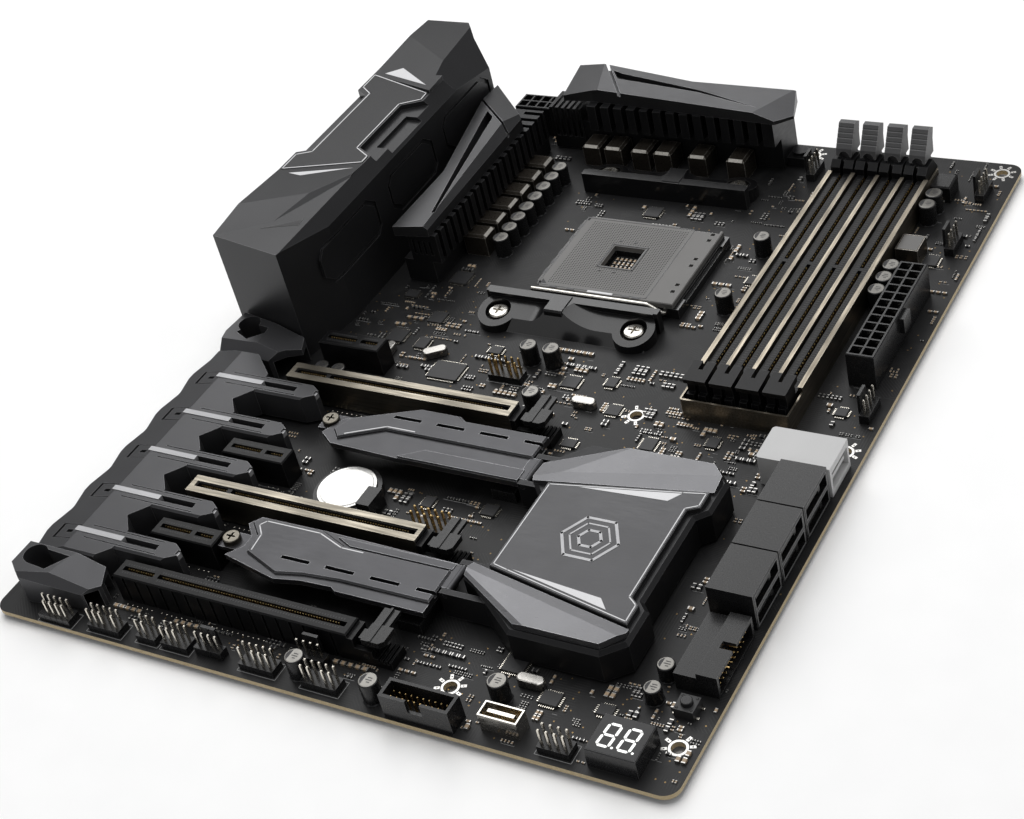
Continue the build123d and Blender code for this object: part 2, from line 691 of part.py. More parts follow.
SIDE_PANELS = [
    (COVER_Y0 + 9, COVER_Y0 + 48),
    (COVER_Y0 + 57, COVER_Y0 + 90),
    (COVER_Y0 + 98, COVER_Y1 - 20),
]
PANEL_Z = (19.0, 36.0)


def side_panel(low, high, inset):
    """A six-sided panel outline in y and z on the cover's inboard wall."""
    y0, y1 = low + inset, high - inset
    z0, z1 = PANEL_Z[0] + inset, PANEL_Z[1] - inset
    return [
        (y0, z0 + 4),
        (y0 + 5, z0),
        (y1 - 3, z0),
        (y1, z0 + 3),
        (y1, z1 - 4),
        (y1 - 5, z1),
        (y0 + 3, z1),
        (y0, z1 - 3),
    ]


with BuildPart() as io_cover:
    prism(COVER_OUTLINE, (0, COVER_Z))
    trim((RIDGE_X, 0, COVER_Z), (RIDGE_X, BOARD_Y, COVER_Z), (COVER_X1, 0, COVER_Z - 4.6))
    add(near_block)
    add(far_block)
    add(far_drop.part, mode=Mode.SUBTRACT)
    prism(COVER_PLATE, (COVER_Z - PLATE_T, COVER_Z + 4), Mode.SUBTRACT)
    rear_step = under_top((COVER_X0 - 1, 102.6), (6.6, 99.4), (6.6, 60.6), (COVER_X0 - 1, 56.8))
    prism(rear_step, (COVER_Z - 2.8, COVER_Z + 1), Mode.SUBTRACT)
    front_step = under_top((25.6, 94.9), (33.6, 99.4), (40, 99.4), (40, 60.4), (33.6, 60.4), (25.6, 65.0))
    prism(front_step, (COVER_Z - 2.0, COVER_Z + 1), Mode.SUBTRACT)
    inner_step = under_top((30.0, 91.0), (40, 91.0), (40, 69.0), (30.0, 69.0))
    prism(inner_step, (COVER_Z - 3.6, COVER_Z), Mode.SUBTRACT)
    cavity = [
        (COVER_X0 - 6, COVER_Y0 + 4.2),
        (30.6, COVER_Y0 - 2.6),
        (COVER_X1 - COVER_WALL, COVER_Y0 + 20),
        (COVER_X1 - COVER_WALL, COVER_Y1 - 45),
        (28.0, COVER_Y1 - 35),
        (28.0, COVER_Y1 - 14),
        (25.0, COVER_Y1 - 11),
        (18.8, COVER_Y1 - COVER_WALL),
        (COVER_X0 - 6, COVER_Y1 - COVER_WALL),
    ]
    prism(cavity, (0, COVER_Z - 5.4), Mode.SUBTRACT)
    for low, high in SIDE_PANELS:
        rib(side_panel(low, high, 0), (COVER_X1 - 0.9, COVER_X1 + 1), Mode.SUBTRACT)
        rib(side_panel(low, high, 1.3), (COVER_X1 - 1.2, COVER_X1 - 0.2))
save(io_cover, "io_cover")

with BuildPart() as io_cover_plate:
    with BuildSketch(deck(COVER_Z - PLATE_T)):
        with BuildLine():
            Polyline(*COVER_PLATE, close=True)
        make_face()
        offset(amount=-0.15)
    extrude(amount=PLATE_T + 0.2)
    chamfer(io_cover_plate.faces().sort_by(Axis.Z)[-1].edges(), 0.25)
save(io_cover_plate, "io_cover_plate")

# --- Rear sockets ---
PS2_Y = BOARD_Y - 19.4
USB_Y = BOARD_Y - 58.4
LAN_Y = BOARD_Y - 78.8
GEN2_Y = BOARD_Y - 98.8
AUDIO_Y = BOARD_Y - 125.4
TALL_H = 29.6
AUDIO_H = 34.0
PORT_WALL = 0.7
USB_W = 13.1
USB_H = 5.6
JACK_R = 1.8
BUTTON_BLOCK_H = 20.0
BUTTON_ZS = (6.0, 14.0)


def rear_block(y, width, height):
    """The outer shell of one socket stack."""
    slab((PORT_FRONT, PORT_BACK), (y - width / 2, y + width / 2), (0, height))


def rear_cut(y, z, width, height, depth, mode=Mode.SUBTRACT):
    """A rectangular mouth in the rear face."""
    slab(
        (PORT_FRONT, PORT_FRONT + depth),
        (y - width / 2, y + width / 2),
        (z - height / 2, z + height / 2),
        mode,
    )


def usb_mouth(y, z):
    """A flat USB socket with its tongue."""
    rear_cut(y, z, USB_W, USB_H, 9.0)
    slab((PORT_FRONT + 0.8, PORT_FRONT + 9), (y - 5.7, y + 5.7), (z + 0.2, z + 2.0))


with BuildPart() as io_ports:
    rear_block(PS2_Y, 14.8, TALL_H)
    usb_mouth(PS2_Y, 4.6)
    usb_mouth(PS2_Y, 12.6)
    rod_x(PS2_Y, 22.6, 4.7, (PORT_FRONT, PORT_FRONT + 7), Mode.SUBTRACT)
    rod_x(PS2_Y, 22.6, 3.4, (PORT_FRONT + 1.4, PORT_FRONT + 7))
    rear_block(BUTTON_Y, 12.6, BUTTON_BLOCK_H)
    for button_z in BUTTON_ZS:
        rod_x(BUTTON_Y, button_z, BUTTON_R + PIVOT, (PORT_FRONT, PORT_FRONT + 8), Mode.SUBTRACT)
    rear_block(USB_Y, 14.8, TALL_H)
    for port_z in (4.2, 11.2, 18.2, 25.2):
        usb_mouth(USB_Y, port_z)
    rear_block(LAN_Y, 17.0, TALL_H)
    usb_mouth(LAN_Y, 4.6)
    usb_mouth(LAN_Y, 11.6)
    rear_cut(LAN_Y, 22.4, 11.8, 8.4, 12)
    rear_cut(LAN_Y, 17.6, 6.0, 2.0, 12)
    rear_block(GEN2_Y, 14.8, 15.8)
    usb_mouth(GEN2_Y, 4.6)
    with BuildSketch(across(PORT_FRONT)) as oval:
        with Locations((GEN2_Y, 11.8)):
            SlotOverall(8.9, 3.2)
        with Locations((GEN2_Y, 11.8)):
            Rectangle(6.6, 0.8, mode=Mode.SUBTRACT)
    extrude(oval.sketch, amount=6, mode=Mode.SUBTRACT)
    rear_block(AUDIO_Y, 27.0, AUDIO_H)
    jacks = [
        (AUDIO_Y - 6.6, 6),
        (AUDIO_Y - 6.6, 17),
        (AUDIO_Y - 6.6, 28),
        (AUDIO_Y + 6.6, 6),
        (AUDIO_Y + 6.6, 17),
    ]
    for jack_y, jack_z in jacks:
        rod_x(jack_y, jack_z, 4.2, (PORT_FRONT, PORT_FRONT + 0.7), Mode.SUBTRACT)
        rod_x(jack_y, jack_z, 3.2, (PORT_FRONT, PORT_FRONT + 0.7))
        rod_x(jack_y, jack_z, JACK_R, (PORT_FRONT, PORT_FRONT + 14), Mode.SUBTRACT)
    rear_cut(AUDIO_Y + 6.6, 28, 7.6, 7.6, 1.2)
    rear_cut(AUDIO_Y + 6.6, 28, 5.4, 5.0, 1.3, Mode.ADD)
save(io_ports, "io_ports")


def rear_button(z):
    """A round push button in the rear button block."""
    with BuildPart() as button:
        rod_x(BUTTON_Y, z, BUTTON_R, (PORT_FRONT - 1.2, PORT_FRONT + 6.8))
        fillet(button.edges().group_by(Axis.X)[0], 0.4)
    return button


clear_cmos_button = rear_button(BUTTON_ZS[1])
save(clear_cmos_button, "clear_cmos_button")
bios_flash_button = rear_button(BUTTON_ZS[0])
save(bios_flash_button, "bios_flash_button")

# --- Power stage ---
with BuildPart() as vrm_heatsink_left:
    slab((46.0, 58.6), (BOARD_Y - 112.4, BOARD_Y - 21), (0.6, VRM_BASE_H))
    slab((50.0, 62.6), (BOARD_Y - 112.4, BOARD_Y - 26), (VRM_BASE_H, VRM_CAP_Z))
    for number in range(19):
        fin_y = BOARD_Y - 110.4 + number * FIN_PITCH
        slab((55.0, 63.0), (fin_y, fin_y + 2.1), (VRM_BASE_H, VRM_CAP_Z), Mode.SUBTRACT)
    for number in range(4):
        vent_x = 51.6 + number * 2.4
        slab((vent_x, vent_x + 1.2), (BOARD_Y - 113, BOARD_Y - 111.4), (13.0, 19.0), Mode.SUBTRACT)
save(vrm_heatsink_left, "vrm_heatsink_left")

LEFT_CAP = under_top((39.0, 18.8), (40.8, 34.8), (49.2, 80.0), (46.8, 115.0), (60.7, 113.2), (60.7, 39.4))
with BuildPart() as vrm_cap_left:
    prism(LEFT_CAP, (VRM_CAP_Z, VRM_TOP_Z + 1))
    trim(
        (39.0, BOARD_Y - 32, VRM_TOP_Z),
        (60.7, BOARD_Y - 50, VRM_TOP_Z),
        (60.7, BOARD_Y - 113, VRM_TOP_Z - 3),
    )
    trim(
        (40.0, BOARD_Y - 31.4, VRM_TOP_Z),
        (60.7, BOARD_Y - 49.4, VRM_TOP_Z),
        (39.0, BOARD_Y - 18.8, VRM_TOP_Z - 2),
    )
    trim(
        (57.4, BOARD_Y - 42, VRM_TOP_Z),
        (60.7, BOARD_Y - 42, VRM_TOP_Z - 3),
        (59.6, BOARD_Y - 113, VRM_TOP_Z - 3.4),
    )
    end_gap = under_top((39.0, 31.4), (61.5, 50.4), (61.5, 51.6), (39.0, 32.6))
    prism(end_gap, (VRM_TOP_Z - 4.5, VRM_TOP_Z + 2), Mode.SUBTRACT)
    long_gap = under_top((46.6, 40.2), (50.9, 43.8), (51.6, 46.0), (59.2, 104.4), (58.2, 105.4))
    prism(long_gap, (VRM_TOP_Z - 4.5, VRM_TOP_Z + 2), Mode.SUBTRACT)
save(vrm_cap_left, "vrm_cap_left")

with BuildPart() as vrm_heatsink_top:
    slab((74.0, 158.0), (BOARD_Y - 17.2, BOARD_Y - 4), (0.6, 13.4))
    slab((80.4, 158.0), (BOARD_Y - 23.0, BOARD_Y - 4), (13.4, VRM_CAP_Z + 2))
    for number in range(13):
        fin_x = 84.0 + number * 5.6
        slab((fin_x, fin_x + 2.3), (BOARD_Y - 24, BOARD_Y - 13), (13.4, VRM_CAP_Z + 2), Mode.SUBTRACT)
    slab((60.0, 74.0), (BOARD_Y - 18.0, BOARD_Y - 6), (0.6, 19.0))
    for number in range(5):
        fin_x = 61.4 + number * 2.6
        slab((fin_x, fin_x + 1.4), (BOARD_Y - 19, BOARD_Y - 5), (6.0, 19.0), Mode.SUBTRACT)
    slab((158.0, 166.4), (BOARD_Y - 14.6, BOARD_Y - 6), (0.6, 3.6))
    posts([(162.0, BOARD_Y - 10.4)], 2.9, (3.6, 5.0))
save(vrm_heatsink_top, "vrm_heatsink_top")

TOP_CAP = under_top(
    (67.6, 1.0), (80.0, 2.2), (120.0, 8.2), (162.0, 7.6), (
        165.2, 19.0
    ), (159.6, 24.4), (82.0, 19.2), (69.4, 20.4)
)
with BuildPart() as vrm_cap_top:
    prism(TOP_CAP, (VRM_CAP_Z + 2, VRM_TOP_Z + 2))
    trim(
        (80, BOARD_Y - 2.2, VRM_TOP_Z + 1),
        (82, BOARD_Y - 19.2, VRM_TOP_Z),
        (159.6, BOARD_Y - 24.4, VRM_TOP_Z - 1.6),
    )
    trim(
        (80, BOARD_Y - 3, VRM_TOP_Z + 1), (84, BOARD_Y - 18, VRM_TOP_Z), (68, BOARD_Y - 12, VRM_TOP_Z - 2.4)
    )
    trim(
        (152, BOARD_Y - 20.6, VRM_TOP_Z - 1),
        (162, BOARD_Y - 8, VRM_TOP_Z - 1),
        (165.2, BOARD_Y - 19, VRM_TOP_Z - 4.4),
    )
    end_gap = under_top((79.0, 0.6), (80.4, 0.6), (95.2, 20.6), (93.8, 20.6))
    prism(end_gap, (VRM_TOP_Z - 1.8, VRM_TOP_Z + 3), Mode.SUBTRACT)
    long_gap = under_top(
        (85.0, 5.8), (89.4, 11.0), (125.0, 14.6), (152.0, 20.6), (125.0, 13.2), (90.0, 7.4)
    )
    prism(long_gap, (VRM_TOP_Z - 1.8, VRM_TOP_Z + 3), Mode.SUBTRACT)
save(vrm_cap_top, "vrm_cap_top")

LEFT_CHOKES = [(64.6, BOARD_Y - 40.3 - number * CHOKE_PITCH) for number in range(6)]
TOP_CHOKES = [(x, BOARD_Y - 22.9) for x in (81.5, 91.0, 102.7, 112.3, 127.0, 142.9)]
MEMORY_CHOKE = (BOARD_X - 20.6, BOARD_Y - 62.0)
with BuildPart() as chokes:
    slabs(LEFT_CHOKES, 9.6, 7.6, (0, CHOKE_H))
    slabs(TOP_CHOKES, 7.4, 9.6, (0, CHOKE_H))
    chamfer(chokes.faces().group_by(Axis.Z)[-1].edges(), 0.9)
    slabs([MEMORY_CHOKE], 8.0, 9.0, (0, 6.4))
save(chokes, "chokes")

VRM_CAPS = [(74.6, BOARD_Y - 41.6 - number * CAP_PITCH) for number in range(8)]
TALL_CAPS = [
    (171.5, BOARD_Y - 70.4),
    (171.5, BOARD_Y - 104.6),
    (116.7, BOARD_Y - 146.6),
    (125.6, BOARD_Y - 146.6),
    (BOARD_X - 22.0, BOARD_Y - 77.4),
    (BOARD_X - 22.0, BOARD_Y - 84.4),
    (BOARD_X - 22.0, BOARD_Y - 91.6),
    (BOARD_X - 22.0, BOARD_Y - 33.6),
    (BOARD_X - 22.0, BOARD_Y - 40.6),
    (129.8, 135.4),
    (118.3, 7.0),
    (145.5, 5.6),
    (182.2, 17.0),
]
SMALL_CAPS = [(BOARD_X - 19.6, 39.0), (BOARD_X - 19.6, 30.0), (45.4, 133.0), (52.4, 133.0)]
with BuildPart() as capacitors:
    posts(VRM_CAPS + TALL_CAPS, CAP_R, (0, CAP_H))
    posts(SMALL_CAPS, CAP_R - 0.4, (0, 5.6))
    fillet(
        capacitors.faces().filter_by(Plane.XY).filter_by(lambda face: face.normal_at().Z > 0).edges(), 0.35
    )
save(capacitors, "capacitors")

# --- Lower shroud ---
BLADE_YS = [BLADE_FIRST + number * SLOT_PITCH for number in range(BLADE_COUNT)]
SHROUD_START = SLOT_FIRST + 0.9
SHROUD_END = BLADE_YS[-1] + 14.6
with BuildPart() as lower_shroud:
    with BuildSketch(deck(SHROUD_BOTTOM)):
        with BuildLine():
            Polyline(
                (SHROUD_X0 + 2.2, SHROUD_START),
                (SHROUD_X1 - 4.6, SHROUD_START),
                (SHROUD_X1, SHROUD_START + 4.8),
                (SHROUD_X1, SHROUD_END - 9.6),
                (SHROUD_X1 - 11.0, SHROUD_END),
                (SHROUD_X0 + 2.2, SHROUD_END),
                close=True,
            )
        make_face()
        for blade_y in BLADE_YS:
            with BuildLine():
                Polyline(
                    (SHROUD_X1 - 2, blade_y - BLADE_W / 2),
                    (BLADE_TIP - 4.6, blade_y - BLADE_W / 2),
                    (BLADE_TIP, blade_y - 1.2),
                    (BLADE_TIP, blade_y + 1.2),
                    (BLADE_TIP - 4.6, blade_y + BLADE_W / 2),
                    (SHROUD_X1 - 2, blade_y + BLADE_W / 2),
                    close=True,
                )
            make_face()
            with BuildLine():
                Polyline(
                    (SHROUD_X0 + 2.3, blade_y - SLOT_PITCH / 2 + 0.4),
                    (SHROUD_X0, blade_y - 1.5),
                    (SHROUD_X0, blade_y + 1.5),
                    (SHROUD_X0 + 2.3, blade_y + SLOT_PITCH / 2 - 0.4),
                    close=True,
                )
            make_face()
        for number in range(1, BLADE_COUNT):
            notch_y = slot_y(number)
            half = (SLOT_PITCH - BLADE_W) / 2
            with BuildLine():
                Polyline(
                    (SHROUD_X1 - 5.0, notch_y),
                    (SHROUD_X1 + 0.1, notch_y - half),
                    (SHROUD_X1 + 0.1, notch_y + half),
                    close=True,
                )
            make_face(mode=Mode.SUBTRACT)
    extrude(amount=SHROUD_TOP - SHROUD_BOTTOM)
    trim((17.5, 0, SHROUD_TOP), (17.5, BOARD_Y, SHROUD_TOP), (SHROUD_X0, 0, SHROUD_TOP - 3))
    chamfer(lower_shroud.faces().group_by(Axis.Z)[-1].edges().filter_by(Axis.X), 0.7)
    for blade_y in BLADE_YS:
        bar_channel = (blade_y - 1.2, blade_y + 1.2)
        slab((16.2, 50.4), bar_channel, (SHROUD_TOP - 2.6, SHROUD_TOP + 1), Mode.SUBTRACT)
        slab(
            (BLADE_TIP - 0.9, BLADE_TIP + 1),
            (blade_y - 1, blade_y + 1),
            (SHROUD_TOP - 2.4, SHROUD_TOP + 1),
            Mode.SUBTRACT,
        )
        slab(
            (21.5, 51.5), (blade_y - 3.0, blade_y - 2.6), (SHROUD_TOP - 0.5, SHROUD_TOP + 1), Mode.SUBTRACT
        )
        slab(
            (21.5, 51.5), (blade_y + 2.6, blade_y + 3.0), (SHROUD_TOP - 0.5, SHROUD_TOP + 1), Mode.SUBTRACT
        )
        slab((8.4, 9.6), (blade_y - 4.6, blade_y + 2.2), (SHROUD_TOP - 2.9, SHROUD_TOP), Mode.SUBTRACT)
        slab((9.4, 17.0), (blade_y + 1.8, blade_y + 2.2), (SHROUD_TOP - 2.2, SHROUD_TOP), Mode.SUBTRACT)
        slab((9.4, 17.0), (blade_y - 4.6, blade_y - 4.2), (SHROUD_TOP - 2.2, SHROUD_TOP), Mode.SUBTRACT)
        slab((12.6, 15.4), (blade_y - 1.9, blade_y - 0.5), (SHROUD_TOP - 3.4, SHROUD_TOP), Mode.SUBTRACT)
    slab((6.6, 27.0), (SHROUD_START + 2, SHROUD_END - 2), (0, SHROUD_TOP - 5.4), Mode.SUBTRACT)
save(lower_shroud, "lower_shroud")

WELL_R = 4.2
BOTTOM_END = [(4.4, 11.0), (4.4, 20.9), (26.0, 20.9), (36.0, 20.2), (39.0, 13.4), (34.0, 8.6), (10.2, 6.5)]
TOP_END = [
    (3.4, SHROUD_END + 8.6),
    (5.4, SHROUD_END + 0.4),
    (27.0, SHROUD_END + 0.4),
    (31.6, SHROUD_END + 5.4),
    (37.0, SHROUD_END + 8.0),
    (34.4, COVER_Y0 - 7.2),
    (20.0, COVER_Y0 - 4.2),
    (4.4, COVER_Y0 - 1.2),
]
bottom_end = roof(
    BOTTOM_END,
    (0, SHROUD_TOP),
    [
        ((24.0, 20.9, SHROUD_TOP), (20.0, 8.6, SHROUD_TOP), (36.0, 20.2, SHROUD_TOP - 2.6)),
        ((20.0, 10.4, SHROUD_TOP), (39.0, 14.8, SHROUD_TOP), (20.0, 5.4, SHROUD_TOP - 4.6)),
    ],
)
top_end = roof(
    TOP_END,
    (0, SHROUD_TOP),
    [
        (
            (5.4, SHROUD_END + 4.6, SHROUD_TOP),
            (31.6, SHROUD_END + 5.6, SHROUD_TOP),
            (5.4, SHROUD_END, SHROUD_TOP - 3.2),
        ),
        ((20.0, 0, SHROUD_TOP), (20.0, BOARD_Y, SHROUD_TOP), (37.0, 0, SHROUD_TOP - 2.4)),
    ],
)
with BuildPart() as shroud_ends:
    add(bottom_end)
    add(top_end)
    posts([(HOLE_REAR, HOLE_BOTTOM), (HOLE_REAR, HOLE_ROW)], WELL_R, (0, SHROUD_TOP + 1), Mode.SUBTRACT)
    bottom_well = [(9.4, 12.2), (18.0, 11.4), (23.2, 18.8), (12.0, 19.4), (8.0, 19.0)]
    prism(bottom_well, (3.0, SHROUD_TOP + 1), Mode.SUBTRACT)
    top_well = [
        (8.0, HOLE_ROW - 5.4),
        (14.4, HOLE_ROW - 8.4),
        (19.6, HOLE_ROW - 3.6),
        (19.0, HOLE_ROW - 0.6),
        (11.0, HOLE_ROW + 0.4),
    ]
    prism(top_well, (3.0, SHROUD_TOP + 1), Mode.SUBTRACT)
    slab((24.0, 38.0), (9.0, 20.0), (0, 7.2), Mode.SUBTRACT)
    slab((20.0, 38.0), (SHROUD_END + 1.6, COVER_Y0 - 8), (0, 7.2), Mode.SUBTRACT)
save(shroud_ends, "shroud_ends")

with BuildPart() as shroud_accents:
    for blade_y in BLADE_YS:
        slab((16.4, 36.2), (blade_y - 1.0, blade_y + 1.0), (SHROUD_TOP - 2.6, SHROUD_TOP + 0.3))
        slab(
            (BLADE_TIP - 0.9, BLADE_TIP),
            (blade_y - 0.9, blade_y + 0.9),
            (SHROUD_TOP - 2.4, SHROUD_TOP - 0.6),
        )
save(shroud_accents, "shroud_accents")

# --- Chipset heatsink ---
CHIPSET_OUTLINE = [
    (154.6, 47.6),
    (160.0, 45.0),
    (178.6, 31.2),
    (208.2, 31.2),
    (214.6, 37.4),
    (214.6, 50.8),
    (211.6, 53.8),
    (211.6, 89.4),
    (215.2, 93.0),
    (215.2, 106.4),
    (209.2, 112.4),
    (166.0, 112.4),
    (154.6, 101.0),
    (154.6, 92.2),
    (159.6, 86.6),
    (159.6, 56.2),
    (154.6, 51.6),
]
FRAME_TOP = CHIPSET_TOP - 1.2
KNUCKLE_W = 10.0
EAR_W = 2.0
HINGE_Z = (SHIELD_Z0 + SHIELD_Z1) / 2 - 0.3
HINGE_PIN_R = 0.8
with BuildPart() as chipset_heatsink:
    prism(CHIPSET_OUTLINE, (1.0, FRAME_TOP))
    chamfer(chipset_heatsink.faces().sort_by(Axis.Z)[-1].edges(), 1.2)
    for drive_y in (UPPER_DRIVE_Y - 5, LOWER_DRIVE_Y + 5):
        for side in (-1, 1):
            ear_y = drive_y + side * (KNUCKLE_W / 2 + GAP + EAR_W / 2)
            ear = (ear_y - EAR_W / 2, ear_y + EAR_W / 2)
            slab((SHIELD_HINGE_X - 1.7, 166.0), ear, (1.0, HINGE_Z + 1.2))
            rod_y(SHIELD_HINGE_X, HINGE_Z, HINGE_PIN_R + PIVOT, ear, Mode.SUBTRACT)
save(chipset_heatsink, "chipset_heatsink")

with BuildPart() as chipset_plate:
    with BuildSketch(deck(FRAME_TOP)):
        with BuildLine():
            Polyline(
                (161.6, 52.4),
                (167.6, 51.2),
                (212.0, 42.4),
                (212.0, 50.4),
                (208.8, 52.8),
                (208.8, 90.2),
                (212.4, 92.2),
                (212.4, 99.2),
                (204.4, 97.8),
                (161.6, 90.4),
                close=True,
            )
        make_face()
    extrude(amount=PLATE_TOP - FRAME_TOP)
    chamfer(chipset_plate.faces().sort_by(Axis.Z)[-1].edges(), 0.3)
save(chipset_plate, "chipset_plate")

upper_wing = roof(
    [
        (156.2, 90.2),
        (213.2, 100.2),
        (213.2, 106.4),
        (208.8, 110.9),
        (179.4, 110.9),
        (155.6, 98.6),
        (155.6, 92.4),
    ],
    (FRAME_TOP, WING_TOP),
    [
        ((155.6, 93.4, WING_TOP), (213.2, 106.6, WING_TOP), (156.2, 90.2, WING_TOP - 0.7)),
        ((164.4, 95.6, WING_TOP), (180.6, 111, WING_TOP), (155.6, 98.6, WING_TOP - 1.0)),
    ],
)
lower_wing = roof(
    [
        (156.2, 52.4),
        (213.2, 41.2),
        (213.2, 39.4),
        (207.8, 33.0),
        (180.0, 33.0),
        (156.2, 46.6),
        (155.6, 50.0),
    ],
    (FRAME_TOP, WING_TOP),
    [
        ((155.6, 49.4, WING_TOP), (213.2, 37.0, WING_TOP), (156.2, 52.4, WING_TOP - 0.7)),
        ((156.2, 48.0, WING_TOP), (181.0, 34.4, WING_TOP), (168.0, 39.0, WING_TOP - 0.6)),
    ],
)
with BuildPart() as chipset_wings:
    add(upper_wing)
    add(lower_wing)
save(chipset_wings, "chipset_wings")

# --- Solid-state drive shields ---
SHIELD_END_X = SHIELD_HINGE_X - 2.4
SCREW_X = 70.8
SCREW_R = 1.2
SHIELD_STEP = SHIELD_Z0 + 2.0
EAR_Z = (SHIELD_Z0, SHIELD_Z0 + 1.2)


def drive_shield(outline, raised, slit_y, screw_y, knuckle_y, flange):
    """A hinged shield: a low plate, a raised field with slits, a screw ear and a hinge knuckle."""
    with BuildPart() as shield:
        prism(outline, (SHIELD_Z0, SHIELD_STEP))
        prism(raised, (SHIELD_STEP, SHIELD_Z1))
        chamfer(shield.faces().sort_by(Axis.Z)[-1].edges(), 0.5)
        for number in range(4):
            slit_x = 93.0 + number * 16.6
            slab(
                (slit_x, slit_x + 10.6),
                (slit_y - 0.7, slit_y + 0.7),
                (SHIELD_STEP - 0.8, SHIELD_Z1 + 1),
                Mode.SUBTRACT,
            )
        prism(flange, (SHIELD_STEP, SHIELD_STEP + 0.6))
        slab((SCREW_X - 3.4, SCREW_X + 9), (screw_y - 3.6, screw_y + 3.6), EAR_Z)
        posts([(SCREW_X, screw_y)], SCREW_R + 0.05, (SHIELD_Z0, SHIELD_Z1), Mode.SUBTRACT)
        posts([(SCREW_X, screw_y)], 3.3, (EAR_Z[1], SHIELD_Z1 + 1), Mode.SUBTRACT)
        knuckle = (knuckle_y - KNUCKLE_W / 2, knuckle_y + KNUCKLE_W / 2)
        slab((SHIELD_END_X - 1, SHIELD_HINGE_X), knuckle, (HINGE_Z - 1.1, HINGE_Z + 1.1))
        rod_y(SHIELD_HINGE_X, HINGE_Z, SHIELD_HINGE_R, knuckle)
        rod_y(SHIELD_HINGE_X, HINGE_Z, HINGE_PIN_R, (knuckle[0] - EAR_W, knuckle[1] + EAR_W))
    return shield


m2_shield_upper = drive_shield(
    [
        (71.0, 96.4),
        (77.0, 92.2),
        (103.0, 91.2),
        (SHIELD_END_X, 91.2),
        (SHIELD_END_X, 113.2),
        (118.0, 113.2),
        (115.0, 115.0),
        (100.0, 115.0),
        (75.0, 104.0),
    ],
    [
        (78.4, 94.4),
        (93.0, 102.2),
        (SHIELD_END_X, 102.2),
        (SHIELD_END_X, 112.8),
        (118.0, 112.8),
        (114.8, 114.6),
        (100.4, 114.6),
        (78.0, 104.6),
        (75.0, 98.0),
    ],
    108.6,
    UPPER_DRIVE_Y,
    UPPER_DRIVE_Y - 5,
    [(104.0, 91.6), (SHIELD_END_X, 91.6), (SHIELD_END_X, 96.6), (112.0, 96.6)],
)
save(m2_shield_upper, "m2_shield_upper")
m2_shield_lower = drive_shield(
    [
        (72.4, 50.4),
        (75.4, 54.2),
        (100.0, 54.4),
        (SHIELD_END_X, 53.4),
        (SHIELD_END_X, 32.2),
        (117.4, 32.2),
        (115.4, 33.4),
        (104.0, 33.0),
        (95.0, 31.2),
        (73.0, 36.0),
        (77.0, 41.0),
        (77.0, 45.6),
    ],
    [
        (74.2, 50.6),
        (76.4, 53.6),
        (100.0, 53.8),
        (110.6, 49.6),
        (SHIELD_END_X, 49.6),
        (SHIELD_END_X, 36.0),
        (117.0, 36.0),
        (104.0, 35.0),
        (94.6, 33.0),
        (80.0, 38.6),
        (79.0, 46.0),
    ],
    39.6,
    LOWER_DRIVE_Y,
    LOWER_DRIVE_Y + 5,
    [(112.0, 50.2), (SHIELD_END_X, 50.2), (SHIELD_END_X, 52.8), (106.0, 52.8)],
)
save(m2_shield_lower, "m2_shield_lower")


def shield_screw(y):
    """A captive screw that comes up with its shield."""
    with BuildPart() as screw:
        posts([(SCREW_X, y)], SCREW_R, (EAR_Z[0] - 3.0, EAR_Z[1]))
        posts([(SCREW_X, y)], 3.0, (EAR_Z[1], EAR_Z[1] + 1.8))
        fillet(screw.edges().group_by(Axis.Z)[-1], 0.5)
        slabs([(SCREW_X, y)], 3.4, 0.8, (EAR_Z[1] + 0.9, EAR_Z[1] + 1.8), Mode.SUBTRACT)
        slabs([(SCREW_X, y)], 0.8, 3.4, (EAR_Z[1] + 0.9, EAR_Z[1] + 1.8), Mode.SUBTRACT)
    return screw


m2_screw_upper = shield_screw(UPPER_DRIVE_Y)
save(m2_screw_upper, "m2_screw_upper")
m2_screw_lower = shield_screw(LOWER_DRIVE_Y)
save(m2_screw_lower, "m2_screw_lower")

with BuildPart() as m2_sockets:
    for drive_y in (UPPER_DRIVE_Y, LOWER_DRIVE_Y):
        slab((138.0, 146.6), (drive_y - 11, drive_y + 11), (0, 4.2))
        slab((137.0, 141.0), (drive_y - 9.8, drive_y + 9.8), (1.8, 2.8), Mode.SUBTRACT)
        posts([(SCREW_X, drive_y)], 2.7, (0, SHIELD_Z0 - RUN))
        posts([(SCREW_X, drive_y)], SCREW_R + 0.5, (3.0, SHIELD_Z0), Mode.SUBTRACT)
save(m2_sockets, "m2_sockets")

# --- Front-edge and bottom-edge connectors ---
with BuildPart() as sata_stacks:
    for number in range(3):
        y = SATA_FIRST + number * SATA_PITCH
        slab((SATA_FRONT - SATA_D, SATA_FRONT), (y - SATA_W / 2, y + SATA_W / 2), (0, SATA_H))
        for port_z in (3.5, 9.7):
            mouth = (y - SATA_W / 2 + 1.3, y + SATA_W / 2 - 1.3)
            slab((SATA_FRONT - 8, SATA_FRONT), mouth, (port_z - 2.3, port_z + 2.3), Mode.SUBTRACT)
            slab((SATA_FRONT - 8, SATA_FRONT - 0.7), (y - 6.2, y + 4.4), (port_z - 0.3, port_z + 1.1))
            slab((SATA_FRONT - 8, SATA_FRONT - 0.7), (y + 3.0, y + 4.4), (port_z - 1.6, port_z + 1.1))
save(sata_stacks, "sata_stacks")

